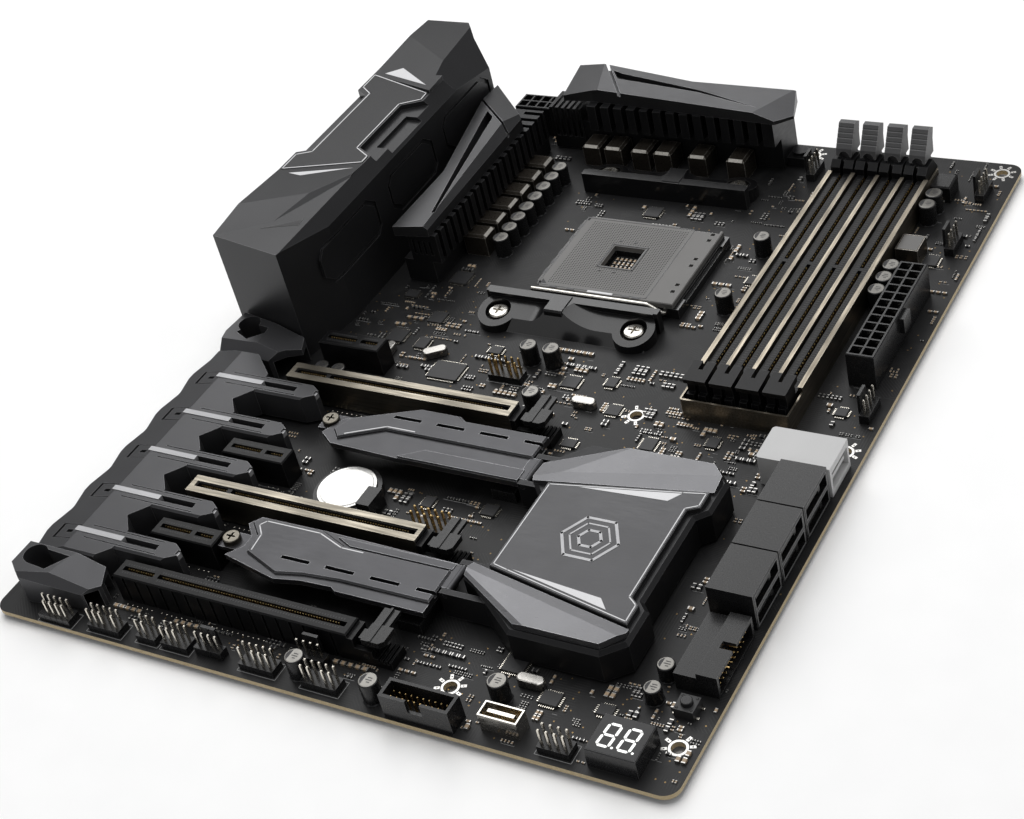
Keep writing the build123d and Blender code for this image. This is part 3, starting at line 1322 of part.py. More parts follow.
with BuildPart() as u2_connector:
    shell = (U2_Y - 7.4, U2_Y + 7.4)
    slab((BOARD_X - 26.4, BOARD_X - 9.0), shell, (0, U2_H))
    fillet(u2_connector.edges().filter_by(Axis.Z).group_by(Axis.X)[0], 1.2)
    slab((BOARD_X - 9.0, BOARD_X - 2.4), shell, (0, U2_H))
    slab((BOARD_X - 8.0, BOARD_X - 2.4), (U2_Y - 6.2, U2_Y + 6.2), (2.2, 8.6), Mode.SUBTRACT)
    slab((BOARD_X - 8.0, BOARD_X - 3.2), (U2_Y - 5.0, U2_Y + 5.0), (4.8, 6.2))
save(u2_connector, "u2_connector")


def power_socket(x, y, columns, rows, clip):
    """A block of square cells from its rear bottom corner, with the clip ramp on one side."""
    width = columns * ATX_PITCH + 1.2
    length = rows * ATX_PITCH + 1.2
    cells = [
        (x + 0.6 + ATX_PITCH * (column + 0.5), y + 0.6 + ATX_PITCH * (row + 0.5))
        for column in range(columns)
        for row in range(rows)
    ]
    with BuildPart() as socket:
        slab((x, x + width), (y, y + length), (0, ATX_H))
        chamfer(socket.faces().sort_by(Axis.Z)[-1].edges(), 0.3)
        slabs(cells, ATX_CELL, ATX_CELL, (3.6, ATX_H), Mode.SUBTRACT)
        if clip == "front":
            slab((x + width, x + width + 1.7), (y + length / 2 - 3, y + length / 2 + 3), (5.6, 11.4))
        else:
            slab((x + width / 2 - 3, x + width / 2 + 3), (y - 1.7, y), (5.6, 11.4))
    return socket


atx_power_socket = power_socket(ATX_X0, ATX_Y0, 2, 12, "front")
save(atx_power_socket, "atx_power_socket")
eps_power_socket = power_socket(39.0, BOARD_Y - 10.4, 4, 2, "bottom")
save(eps_power_socket, "eps_power_socket")

BOTTOM_USB = ((152.0, 175.2), (0.9, 8.1))
FRONT_USB_Y = (35.8, 60.2)
with BuildPart() as usb3_headers:
    slab(*BOTTOM_USB, (0, 8.7))
    slab((153.0, 174.2), (1.9, 7.1), (1.6, 8.7), Mode.SUBTRACT)
    slab((161.0, 166.0), (0.9, 1.9), (4.4, 8.7), Mode.SUBTRACT)
    slab((BOARD_X - 15.8, BOARD_X - 8.8), FRONT_USB_Y, (0, 6.4))
    slab((BOARD_X - 8.8, BOARD_X - 2.4), FRONT_USB_Y, (0, 8.2))
    slab(
        (BOARD_X - 7.8, BOARD_X - 2.4),
        (FRONT_USB_Y[0] + 1.0, FRONT_USB_Y[1] - 1.0),
        (1.2, 7.0),
        Mode.SUBTRACT,
    )
    slab((BOARD_X - 6.4, BOARD_X - 2.4), (46.6, 49.4), (7.0, 8.2), Mode.SUBTRACT)
save(usb3_headers, "usb3_headers")

with BuildPart() as usb31_front_connector:
    slab((182.0, 194.6), (5.0, 10.6), (0, 6.6))
    slab((182.5, 194.1), (5.5, 10.1), (0.8, 6.6), Mode.SUBTRACT)
    slab((184.0, 192.6), (7.2, 8.4), (0.8, 6.2))
save(usb31_front_connector, "usb31_front_connector")

DOUBLE_HEADERS = [
    (26.2, 3.4, 5),
    (45.8, 4.6, 5),
    (62.4, 5.4, 3),
    (73.6, 5.4, 4),
    (104.8, 5.6, 5),
    (127.8, 5.4, 5),
    (206.2, 5.4, 4),
]
INNER_HEADERS = [(112.4, 148.4, 5), (127.0, 73.0, 6)]
FAN_HEADERS_X = [(86.2, 5.6), (119.6, 12.6)]
FAN_HEADERS_Y = [
    (BOARD_X - 5.2, ATX_Y0 - 12.0),
    (BOARD_X - 8.4, BOARD_Y - 53.8),
    (BOARD_X - 8.4, BOARD_Y - 20.8),
    (170.6, BOARD_Y - 18.4),
]
with BuildPart() as pin_headers:
    for x, y, columns in DOUBLE_HEADERS + INNER_HEADERS:
        slabs([(x, y)], columns * HEADER_PITCH, 2 * HEADER_PITCH, (0, 2.5))
    slabs(FAN_HEADERS_X, 10.2, 3.4, (0, 3.2))
    slabs([(x, y + 2.2) for x, y in FAN_HEADERS_X], 5.4, 1.0, (0, 9.4))
    slabs(FAN_HEADERS_Y, 3.4, 10.2, (0, 3.2))
    slabs([(x - 2.2, y) for x, y in FAN_HEADERS_Y], 1.0, 5.4, (0, 9.4))
save(pin_headers, "pin_headers")

with BuildPart() as debug_display:
    slab((216.6, 232.2), (3.0, 16.6), (0, 7.0))
    chamfer(debug_display.faces().sort_by(Axis.Z)[-1].edges(), 0.3)
save(debug_display, "debug_display")

# --- Chips ---
CHIPS = [
    (183.0, 72.0, 26, 24, 1.0),
    (180.0, 31.0, 7, 9, 1.0),
    (89.0, 146.0, 12, 9, 1.0),
    (69.6, BOARD_Y - 131.8, 6, 6, 0.9),
    (66.0, BOARD_Y - 107.8, 7, 7, 0.9),
    (120.0, BOARD_Y - 54.2, 6, 6, 0.9),
    (157.0, 141.0, 5, 5, 0.9),
    (230.6, BOARD_Y - 63.2, 5, 6, 1.0),
]
with BuildPart() as chips:
    for x, y, width, length, height in CHIPS:
        slabs([(x, y)], width, length, (0, height))
save(chips, "chips")

# --- Battery ---
BATTERY_X = 90.6
BATTERY_Y = 79.0
BATTERY_R = 10.0
with BuildPart() as battery_holder:
    posts([(BATTERY_X, BATTERY_Y)], BATTERY_R + 1.6, (0, 4.2))
    slab((BATTERY_X + 8.6, BATTERY_X + 13.6), (BATTERY_Y - 7.6, BATTERY_Y + 1.0), (0, 6.8))
    posts([(BATTERY_X, BATTERY_Y)], BATTERY_R + RUN, (1.8, 5.8), Mode.SUBTRACT)
    slab((BATTERY_X - 3, BATTERY_X + 3), (BATTERY_Y + 8, BATTERY_Y + 13), (1.8, 6), Mode.SUBTRACT)
save(battery_holder, "battery_holder")

with BuildPart() as battery:
    posts([(BATTERY_X, BATTERY_Y)], BATTERY_R, (1.8, 5.0))
    posts([(BATTERY_X, BATTERY_Y)], BATTERY_R - 0.9, (5.0, 5.2))
    fillet(battery.edges().group_by(Axis.Z)[-1], 0.15)
save(battery, "battery")

# --- Board push button ---
with BuildPart() as tact_switch_body:
    slabs([(TACT_X, TACT_Y)], TACT_SIDE, TACT_SIDE, (0, TACT_H))
    posts([(TACT_X, TACT_Y)], PLUNGER_R + PIVOT, (0.8, TACT_H), Mode.SUBTRACT)
save(tact_switch_body, "tact_switch_body")

with BuildPart() as tact_switch_plunger:
    posts([(TACT_X, TACT_Y)], PLUNGER_R, (0.8 + PLUNGER_TRAVEL + RUN, TACT_H + 1.4))
    fillet(tact_switch_plunger.edges().group_by(Axis.Z)[-1], 0.3)
save(tact_switch_plunger, "tact_switch_plunger")
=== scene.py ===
"""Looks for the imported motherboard: materials, small surface parts, pins, marks, stage and camera."""

import json
import math
import random

import bpy
from mathutils import Matrix, Vector
from mathutils.bvhtree import BVHTree


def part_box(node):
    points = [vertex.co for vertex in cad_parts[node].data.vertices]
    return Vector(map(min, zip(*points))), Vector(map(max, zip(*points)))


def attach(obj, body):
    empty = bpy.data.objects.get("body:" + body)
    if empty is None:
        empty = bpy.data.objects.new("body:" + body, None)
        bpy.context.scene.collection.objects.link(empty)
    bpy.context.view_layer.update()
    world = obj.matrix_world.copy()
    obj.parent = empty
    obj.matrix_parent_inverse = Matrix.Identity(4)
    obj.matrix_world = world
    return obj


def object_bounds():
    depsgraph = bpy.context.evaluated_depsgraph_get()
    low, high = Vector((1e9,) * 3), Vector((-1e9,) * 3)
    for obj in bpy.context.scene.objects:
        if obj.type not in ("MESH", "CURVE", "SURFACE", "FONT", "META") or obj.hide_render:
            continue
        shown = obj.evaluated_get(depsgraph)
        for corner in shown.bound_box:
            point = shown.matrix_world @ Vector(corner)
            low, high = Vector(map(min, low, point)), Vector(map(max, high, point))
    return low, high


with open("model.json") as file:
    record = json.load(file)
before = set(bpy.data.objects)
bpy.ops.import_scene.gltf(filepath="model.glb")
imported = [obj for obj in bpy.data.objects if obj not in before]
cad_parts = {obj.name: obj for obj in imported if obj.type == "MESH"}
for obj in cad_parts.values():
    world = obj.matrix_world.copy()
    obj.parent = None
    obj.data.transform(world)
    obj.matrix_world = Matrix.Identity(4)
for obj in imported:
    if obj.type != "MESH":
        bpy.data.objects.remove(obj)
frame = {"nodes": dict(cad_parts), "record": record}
CAD_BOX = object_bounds()
NODES = frame["nodes"]
MM = 0.001
BOARD_LOW, BOARD_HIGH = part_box("pcb")
BOARD_X = (BOARD_HIGH.x - BOARD_LOW.x) / MM
BOARD_Y = (BOARD_HIGH.y - BOARD_LOW.y) / MM
BOARD_T = (BOARD_HIGH.z - BOARD_LOW.z) / MM
LONG_SLOTS = ("pcie_x16_slot_1", "pcie_x16_slot_2", "pcie_x16_slot_3")
ALL_SLOTS = (*LONG_SLOTS, "pcie_x1_slots")
LONG_SLOT = 89.5
CARD_KEY = 15.2
PIN_PITCH = 2.54
LEG_REACH = 0.8
EDGE_GAP = 1.2
POWER_PITCH = 4.2
HOLE_XS = (10.16, 165.1, BOARD_X - 6.35)
HOLE_YS = (16.51, 140.97, BOARD_Y - 6.35)
PORT_FACE = -1.2
PS2_Y, USB_Y, LAN_Y, GEN2_Y, AUDIO_Y = 285.4, 246.4, 226.0, 206.0, 179.4
JACK_SIDE = 6.6
PS2_Z = 22.6


# --- Places ---
def at(x, y, z=0.0):
    """A place in metres from millimetres along the board, up the board and above it."""
    return Vector((BOARD_LOW.x + x * MM, BOARD_LOW.y + y * MM, BOARD_HIGH.z + z * MM))


def board_mm(point):
    """The reverse of at."""
    return (
        (point.x - BOARD_LOW.x) / MM,
        (point.y - BOARD_LOW.y) / MM,
        (point.z - BOARD_HIGH.z) / MM,
    )


def span(name):
    """A node's box in board millimetres: ((x0, x1), (y0, y1), (z0, z1))."""
    low, high = (board_mm(p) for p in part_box(name))
    return tuple(zip(low, high))


def islands(name):
    """The box of each separate solid in a node, in board millimetres."""
    mesh = NODES[name].data
    keys = {}
    weld = []
    for vertex in mesh.vertices:
        key = tuple(round(c / 2e-6) for c in vertex.co)
        weld.append(keys.setdefault(key, len(keys)))
    parent = list(range(len(keys)))

    def find(a):
        while parent[a] != a:
            parent[a] = parent[parent[a]]
            a = parent[a]
        return a

    for face in mesh.polygons:
        first = find(weld[face.vertices[0]])
        for index in face.vertices[1:]:
            parent[find(weld[index])] = first
    groups = {}
    for index, vertex in enumerate(mesh.vertices):
        groups.setdefault(find(weld[index]), []).append(board_mm(vertex.co))
    boxes = [tuple((min(c), max(c)) for c in zip(*points)) for points in groups.values()]
    return sorted(boxes, key=lambda b: (round(b[1][0], 1), round(b[0][0], 1)))


# --- Materials ---
class Graph:
    """A short way to write a node material."""

    def __init__(self, name):
        self.material = bpy.data.materials.new(name)
        self.material.use_nodes = True
        self.tree = self.material.node_tree
        self.shader = self.tree.nodes["Principled BSDF"]
        self.coords = self.tree.nodes.new("ShaderNodeTexCoord").outputs["Object"]

    def node(self, kind, inputs=(), **settings):
        made = self.tree.nodes.new(kind)
        for key, value in settings.items():
            setattr(made, key, value)
        for key, value in dict(inputs).items():
            self.put(made.inputs[key], value)
        return made

    def put(self, socket, value):
        if isinstance(value, bpy.types.NodeSocket):
            self.tree.links.new(value, socket)
        else:
            socket.default_value = value

    def math(self, operation, a, b=0.0):
        return self.node("ShaderNodeMath", {0: a, 1: b}, operation=operation).outputs[0]

    def noise(self, scale, detail=3.0, stretch=None):
        where = self.coords
        if stretch:
            where = self.node("ShaderNodeMapping", {"Vector": where, "Scale": stretch}).outputs[0]
        return self.node(
            "ShaderNodeTexNoise", {"Vector": where, "Scale": scale, "Detail": detail}
        ).outputs["Fac"]

    def remap(self, value, low, high, source=(0.3, 0.7)):
        inputs = {
            "Value": value, "From Min": source[0], "From Max": source[1], "To Min": low, "To Max": high
        }
        return self.node("ShaderNodeMapRange", inputs).outputs[0]

    def mix(self, factor, a, b):
        made = self.tree.nodes.new("ShaderNodeMix")
        made.data_type = "RGBA"
        self.put(made.inputs[0], factor)
        self.put(made.inputs[6], a)
        self.put(made.inputs[7], b)
        return made.outputs[2]

    def bump(self, height, strength, distance):
        inputs = {"Height": height, "Strength": strength, "Distance": distance}
        return self.node("ShaderNodeBump", inputs).outputs["Normal"]

    def edges(self, radius):
        """Nought on flats, rising to one on sharp edges."""
        soft = self.node("ShaderNodeBevel", {"Radius": radius}, samples=4).outputs[0]
        plain = self.node("ShaderNodeNewGeometry").outputs["True Normal"]
        dot = self.node(
            "ShaderNodeVectorMath", {0: soft, 1: plain}, operation="DOT_PRODUCT"
        ).outputs["Value"]
        return self.remap(dot, 1.0, 0.0, (0.72, 0.985))


def shade(colour, factor):
    return (*(min(1.0, c * factor) for c in colour[:3]), 1.0)


def surface(
    name, colour, rough, metal=0.0, vary=0.18, grain=2600, bump=0.12, cloud=45, stretch=None, **extra
):
    """A finish with broad tone changes, fine grain and painted highlights on sharp edges; one number as
    edge is a grey.
    """
    g = Graph(name)
    broad = g.noise(cloud, 2.0)
    fine = g.noise(grain, 4.0, stretch)
    tone = g.mix(g.remap(broad, 0.0, 1.0), shade(colour, 1 - vary), shade(colour, 1 + vary))
    tone = g.mix(
        g.remap(fine, 0.0, extra.get("speck", 0.35)), tone, shade(colour, extra.get("speck_tone", 1.35))
    )
    if "edge" in extra:
        edge = extra["edge"] if isinstance(extra["edge"], tuple) else (extra["edge"],) * 3
        # Painted highlight: the edge colour is mixed in along sharp edges, more where the broad noise is
        # high.
        painted_edge_highlight = g.math("MULTIPLY", g.edges(extra.get("edge_r", 0.25 * MM)), g.remap(broad, 0.55, 1.0))
        tone = g.mix(painted_edge_highlight, tone, (*edge, 1.0))
    g.put(g.shader.inputs["Base Color"], tone)
    g.put(g.shader.inputs["Roughness"], g.remap(fine, rough - 0.05, rough + 0.08))
    g.shader.inputs["Metallic"].default_value = metal
    g.shader.inputs["Specular IOR Level"].default_value = extra.get("gloss", 0.3)
    g.shader.inputs["Coat Weight"].default_value = extra.get("coat", 0.0)
    g.shader.inputs["Coat Roughness"].default_value = 0.15
    g.put(g.shader.inputs["Normal"], g.bump(fine, bump, extra.get("depth", 0.00006)))
    return g.material


def board_material():
    """Black solder mask with faint copper lines under it, and bare laminate on the cut edge."""
    g = Graph("solder_mask")
    axes = g.node("ShaderNodeSeparateXYZ", {0: g.coords})
    cells = g.node("ShaderNodeTexVoronoi", {"Vector": g.coords, "Scale": 62.0})
    pick = g.node("ShaderNodeSeparateColor", {0: cells.outputs["Color"]})
    turn = g.math("MULTIPLY", g.math("FLOOR", g.math("MULTIPLY", pick.outputs[0], 4.0)), math.pi / 4)
    along = g.math(
        "ADD",
        g.math("MULTIPLY", axes.outputs[0], g.math("COSINE", turn)),
        g.math("MULTIPLY", axes.outputs[1], g.math("SINE", turn)),
    )
    wave = g.math("SINE", g.math("MULTIPLY", along, 2 * math.pi / (0.9 * MM)))
    lines = g.remap(wave, 0.0, 1.0, (0.25, 0.6))
    patches = g.remap(g.noise(90, 2.0), 0.0, 1.0, (0.47, 0.53))
    traces = g.math(
        "MULTIPLY", lines, g.math("MULTIPLY", patches, g.remap(pick.outputs[1], 0.0, 1.0, (0.2, 0.5)))
    )
    pours = g.remap(g.noise(38, 0.0), 0.0, 1.0, (0.49, 0.51))
    fine = g.noise(5200, 3.0)
    mask = g.mix(g.math("MULTIPLY", pours, 0.5), (0.0085, 0.0085, 0.009, 1), (0.0135, 0.0135, 0.014, 1))
    mask = g.mix(g.math("MULTIPLY", traces, 0.6), mask, (0.026, 0.026, 0.026, 1))
    layers = g.math("SINE", g.math("MULTIPLY", axes.outputs[2], 2 * math.pi / (0.4 * MM)))
    glass = g.mix(g.remap(layers, 0.0, 0.5, (0.2, 1.0)), (0.42, 0.33, 0.19, 1), (0.26, 0.19, 0.1, 1))
    glass = g.mix(g.remap(g.noise(900, 3.0), 0.0, 0.35), glass, (0.55, 0.47, 0.3, 1))
    normal = g.node("ShaderNodeNewGeometry").outputs["True Normal"]
    up = g.math("ABSOLUTE", g.node("ShaderNodeSeparateXYZ", {0: normal}).outputs[2])
    flat = g.math("GREATER_THAN", up, 0.5)
    g.put(g.shader.inputs["Base Color"], g.mix(flat, glass, mask))
    g.put(g.shader.inputs["Roughness"], g.remap(fine, 0.4, 0.52))
    g.shader.inputs["Specular IOR Level"].default_value = 0.25
    height = g.math("ADD", g.math("MULTIPLY", traces, 0.6), g.math("MULTIPLY", fine, 0.35))
    g.put(g.shader.inputs["Normal"], g.bump(height, 0.25, 0.00008))
    return g.material


def glow_material(name, colour, strength):
    """A lit segment: pale plastic with a little light of its own."""
    g = Graph(name)
    fine = g.noise(3000, 2.0)
    g.put(
        g.shader.inputs["Base Color"],
        g.mix(g.remap(fine, 0.0, 1.0), shade(colour, 0.9), shade(colour, 1.0)),
    )
    g.put(g.shader.inputs["Roughness"], g.remap(fine, 0.3, 0.42))
    g.shader.inputs["Emission Color"].default_value = (*colour, 1.0)
    g.shader.inputs["Emission Strength"].default_value = strength
    return g.material


# An edge colour below is a painted highlight along sharp edges; edge_r is how far it reaches.
M = {
    "board": board_material(),
    "steel": surface(
        "bright_steel", (0.56, 0.54, 0.5), 0.22, 1.0, grain=900, stretch=(0.15, 1, 1), bump=0.08
    ),
    "shield_steel": surface(
        "tinned_steel", (0.3, 0.265, 0.21), 0.34, 1.0, vary=0.45, grain=1400, stretch=(1, 0.05, 1),
        bump=0.2, speck=0.8, speck_tone=0.45, edge=(0.6, 0.56, 0.48), edge_r=0.15 * MM,
    ),
    "armour_steel": surface(
        "armour_steel", (0.27, 0.245, 0.2), 0.34, 1.0, vary=0.45, grain=1400, stretch=(0.05, 1, 1),
        bump=0.2, speck=0.8, speck_tone=0.45, edge=(0.6, 0.56, 0.48), edge_r=0.15 * MM,
    ),
    "black_steel": surface("coated_steel", (0.03, 0.03, 0.032), 0.42, 0.2, edge=0.2),
    "black_alu": surface(
        "black_anodised", (0.014, 0.014, 0.015), 0.36, 0.5, grain=1800, stretch=(1, 0.2, 1),
        edge=(0.16, 0.16, 0.165),
    ),
    "grey_alu": surface(
        "gunmetal", (0.05, 0.05, 0.052), 0.33, 0.75, vary=0.12, grain=2600, stretch=(0.08, 1, 1), bump=0.14,
        edge=(0.4, 0.4, 0.41),
    ),
    "silver_alu": surface(
        "silver_satin", (0.12, 0.12, 0.125), 0.32, 0.8, vary=0.1, grain=3000, stretch=(0.12, 1, 1),
        bump=0.1, edge=(0.62, 0.62, 0.64),
    ),
    "shield_alu": surface(
        "shield_satin", (0.05, 0.05, 0.053), 0.33, 0.78, vary=0.12, grain=3000, stretch=(0.08, 1, 1),
        bump=0.12, edge=(0.55, 0.55, 0.57),
    ),
    "cover": surface(
        "cover_plastic", (0.024, 0.024, 0.0255), 0.34, 0.45, vary=0.1, grain=4200, bump=0.12,
        edge=(0.2, 0.2, 0.205),
    ),
    "cover_grey": surface("plate_plastic", (0.01, 0.01, 0.011), 0.38, 0.3, vary=0.1, grain=3600, edge=0.3),
    "shroud": surface(
        "shroud_plastic", (0.05, 0.05, 0.053), 0.36, 0.45, vary=0.12, grain=4200, bump=0.12,
        edge=(0.4, 0.4, 0.41),
    ),
    "accent": surface("light_bar", (0.34, 0.34, 0.35), 0.35, 0.3, grain=2200, edge=0.6),
    "socket_plastic": surface(
        "moulded_black", (0.008, 0.008, 0.0085), 0.2, bump=0.04, speck_tone=1.1, coat=0.35, gloss=0.4,
        edge=0.2,
    ),
    "socket_grey": surface(
        "socket_cover_plastic", (0.12, 0.117, 0.113), 0.36, vary=0.06, grain=3200, speck_tone=1.12, edge=0.4
    ),
    "slot_plastic": surface(
        "slot_black", (0.004, 0.004, 0.0045), 0.34, bump=0.05, speck_tone=1.1, gloss=0.16, edge=0.12,
        edge_r=0.16 * MM,
    ),
    "latch_plastic": surface("latch_grey", (0.07, 0.07, 0.072), 0.36, speck_tone=1.12, edge=0.34),
    "choke": surface(
        "ferrite", (0.06, 0.052, 0.043), 0.3, 0.75, vary=0.2, grain=1500, bump=0.25,
        edge=(0.75, 0.72, 0.66), edge_r=0.5 * MM,
    ),
    "capacitor": surface("can_sleeve", (0.012, 0.012, 0.0125), 0.24, 0.3, edge=0.4, edge_r=0.3 * MM),
    "can_top": surface("can_top", (0.15, 0.145, 0.135), 0.34, 1.0, vary=0.3, grain=1500, bump=0.1),
    "can_mark": surface("can_mark", (0.03, 0.03, 0.032), 0.5),
    "chip": surface("moulded_chip", (0.022, 0.022, 0.023), 0.42, grain=3800, bump=0.12, speck_tone=1.12),
    "port_steel": surface("port_shell", (0.6, 0.59, 0.57), 0.3, 1.0, grain=1100, stretch=(1, 1, 0.1)),
    "connector": surface(
        "connector_black", (0.008, 0.008, 0.0085), 0.28, bump=0.05, speck_tone=1.1, edge=0.13,
        edge_r=0.16 * MM,
    ),
    "white_plastic": surface("off_white", (0.5, 0.5, 0.5), 0.42, vary=0.05, speck_tone=1.1),
    "cell": surface("cell_steel", (0.5, 0.495, 0.48), 0.3, 1.0, vary=0.08, grain=1600, stretch=(0.2, 1, 1)),
    "button": surface("button_black", (0.014, 0.014, 0.015), 0.22, bump=0.03, speck_tone=1.08, edge=0.2),
    "gold": surface("gold_plate", (0.8, 0.56, 0.25), 0.26, 1.0, vary=0.1, grain=2200, bump=0.06),
    "pin": surface("tin_pin", (0.74, 0.7, 0.62), 0.22, 1.0, vary=0.1, grain=2400, bump=0.05),
    "solder": surface("solder", (0.5, 0.49, 0.47), 0.34, 1.0, grain=1800, bump=0.1),
    "ink": surface("print_ink", (0.26, 0.26, 0.26), 0.6, vary=0.1),
    "line": surface("pale_line", (0.58, 0.58, 0.59), 0.4, 0.1, vary=0.06),
    "ceramic": surface("ceramic_tan", (0.36, 0.27, 0.18), 0.42, vary=0.25),
    "resistor": surface("resistor_black", (0.02, 0.02, 0.022), 0.35),
    "crystal": surface("crystal_can", (0.36, 0.35, 0.33), 0.28, 1.0, grain=900),
    "nickel": surface("nickel", (0.4, 0.39, 0.37), 0.28, 1.0, grain=1200),
    "dark_nickel": surface("dark_nickel", (0.13, 0.12, 0.1), 0.3, 1.0, grain=1200, edge=(0.5, 0.47, 0.4)),
    "choke_edge": surface("coil_bevel", (0.5, 0.48, 0.44), 0.3, 0.5, vary=0.2, grain=1500, bump=0.1),
    "gloss_black": surface(
        "bracket_gloss", (0.004, 0.004, 0.0045), 0.32, bump=0.02, speck_tone=1.1, coat=0.5, gloss=0.2,
        edge=0.1,
    ),
    "tick": surface("slot_tick", (0.022, 0.022, 0.023), 0.45),
    "via_gold": surface("via_gold", (0.3, 0.2, 0.09), 0.4, 1.0, vary=0.2),
    "pink": surface("jack_pink", (0.5, 0.16, 0.2), 0.4),
    "green": surface("jack_green", (0.12, 0.38, 0.14), 0.4),
    # Black plastic, and also the painted shade laid over hole mouths.
    "dark": surface("dark_recess", (0.004, 0.004, 0.004), 0.7),
    "red": surface("port_red", (0.42, 0.02, 0.02), 0.4),
    "blue": surface("port_blue", (0.03, 0.09, 0.35), 0.4),
    "segment": glow_material("segment", (0.86, 0.87, 0.85), 0.55),
}
FINISHES = {
    "pcie_x16_armor": "armour_steel", "m2_shield_upper": "shield_alu", "m2_shield_lower": "shield_alu",
    "shroud_ends": "shroud", "m2_screw_upper": "dark_nickel", "m2_screw_lower": "dark_nickel",
    "pcie_latch_1": "connector", "pcie_latch_2": "connector", "pcie_latch_3": "connector",
    "cooler_bracket_lower": "gloss_black", "cooler_bracket_upper": "gloss_black",
    "tact_switch_body": "chip",
}
for entry in frame["record"]["subparts"]:
    mesh = NODES[entry["node"]].data
    mesh.materials.clear()
    mesh.materials.append(M[FINISHES.get(entry["node"], entry["material_slot"])])


# --- Mesh pieces ---
class Batch:
    """Gathers many small shapes, in board millimetres, into one object."""

    def __init__(self, name, *finishes, body="board"):
        self.name, self.finishes, self.body = name, finishes, body
        self.points, self.faces, self.slots = [], [], []

    def shape(self, points, faces, finish=None):
        start = len(self.points)
        self.points += [Vector(p) for p in points]
        self.faces += [[start + i for i in face] for face in faces]
        self.slots += [self.finishes.index(finish) if finish else 0] * len(faces)

    def block(self, x, y, z, c=0.0, finish=None):
        """A block whose upper edges are cut back by c."""
        c = min(c, (x[1] - x[0]) * 0.45, (y[1] - y[0]) * 0.45, (z[1] - z[0]) * 0.9)
        rings = [(0.0, z[0]), (0.0, z[1] - c), (c, z[1])] if c > 0 else [(0.0, z[0]), (0.0, z[1])]
        self.rings([self.square(x, y, inset, height) for inset, height in rings], finish)

    @staticmethod
    def square(x, y, inset, height):
        x0, x1, y0, y1 = x[0] + inset, x[1] - inset, y[0] + inset, y[1] - inset
        return [(x0, y0, height), (x1, y0, height), (x1, y1, height), (x0, y1, height)]

    def rings(self, rings, finish=None):
        """A closed solid through matching rings, lowest first, each counter-clockwise from above."""
        n = len(rings[0])
        points = [p for ring in rings for p in ring]
        faces = [list(range(n))[::-1], [(len(rings) - 1) * n + i for i in range(n)]]
        for level in range(len(rings) - 1):
            base = level * n
            faces += [
                [base + i, base + (i + 1) % n, base + n + (i + 1) % n, base + n + i] for i in range(n)
            ]
        self.shape(points, faces, finish)

    def disc(self, x, y, profile, sides=16, finish=None):
        """A round solid about a vertical line, from (radius, height) pairs, lowest first."""
        angles = [2 * math.pi * i / sides for i in range(sides)]
        rings = []
        for radius, height in profile:
            rings.append([(x + radius * math.cos(a), y + radius * math.sin(a), height) for a in angles])
        self.rings(rings, finish)

    def hoop(self, x, y, outer, inner, z, sides=48, finish=None):
        """A flat ring."""
        angles = [2 * math.pi * i / sides for i in range(sides)]
        spin = [(math.cos(a), math.sin(a)) for a in angles]
        loops = [(inner, z[0]), (outer, z[0]), (outer, z[1]), (inner, z[1])]
        points = [(x + c * radius, y + s * radius, height) for radius, height in loops for c, s in spin]
        faces = []
        for a in range(4):
            b = (a + 1) % 4
            for i in range(sides):
                k = (i + 1) % sides
                faces.append([a * sides + i, a * sides + k, b * sides + k, b * sides + i])
        self.shape(points, faces, finish)

    def plate(self, outline, z, c=0.0, finish=None):
        """A flat piece on any counter-clockwise outline."""
        middle = [sum(p[k] for p in outline) / len(outline) for k in (0, 1)]
        size = max(math.dist(p, middle) for p in outline)
        small = [[middle[k] + (p[k] - middle[k]) * (1 - c / size) for k in (0, 1)] for p in outline]
        rings = [
            [(*p, z[0]) for p in outline], [(*p, z[1] - c) for p in outline], [(*p, z[1]) for p in small]
        ]
        self.rings(rings if c > 0 else [rings[0], rings[2]], finish)

    def stroke(self, path, width, z, closed=False, finish=None):
        """A raised line along a path."""
        path = [Vector((*p, 0)) for p in path]
        pairs = list(zip(path, path[1:] + path[:1])) if closed else list(zip(path, path[1:]))
        for a, b in pairs:
            way = (b - a).normalized()
            side = Vector((-way.y, way.x, 0)) * width / 2
            a2, b2 = a - way * width * 0.4, b + way * width * 0.4
            corners = [a2 - side, b2 - side, b2 + side, a2 + side]
            self.rings([[(p.x, p.y, h) for p in corners] for h in z], finish)

    def build(self, bevel=0.0):
        """Makes the object, with its edges rounded by bevel, and ties it to its body."""
        mesh = bpy.data.meshes.new(self.name)
        mesh.from_pydata([at(*p) for p in self.points], [], self.faces)
        for finish in self.finishes:
            mesh.materials.append(M[finish])
        mesh.polygons.foreach_set("material_index", self.slots)
        mesh.validate()
        piece = bpy.data.objects.new(self.name, mesh)
        bpy.context.scene.collection.objects.link(piece)
        if bevel:
            edges = piece.modifiers.new("edges", "BEVEL")
            edges.width = bevel * MM
            edges.segments = 2
            edges.limit_method = "ANGLE"
            edges.angle_limit = math.radians(40)
            edges.harden_normals = False
        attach(piece, self.body)


# --- Black coil beside the memory latches ---
COIL = (BOARD_X - 22.0, BOARD_Y - 23.4)
coil = Batch("memory_coil", "connector", "solder")
coil.block((COIL[0] - 3.8, COIL[0] + 3.8), (COIL[1] - 4.4, COIL[1] + 4.4), (0.1, 6.6), 0.5)
for side in (-1, 1):
    near = sorted((COIL[1] + side * 3.2, COIL[1] + side * 4.7))
    coil.block((COIL[0] - 1.6, COIL[0] + 1.6), near, (0, 0.9), 0.1, "solder")
coil.build()

# --- Free board surface ---
def cover_tree():
    """Everything in the CAD that stands on the board, for keeping small parts clear of it."""
    points, faces = [], []
    for name, node in NODES.items():
        if name in ("pcb", "cooler_backplate"):
            continue
        start = len(points)
        points += [v.co for v in node.data.vertices]
        faces += [[start + i for i in f.vertices] for f in node.data.polygons]
    return BVHTree.FromPolygons(points, faces)


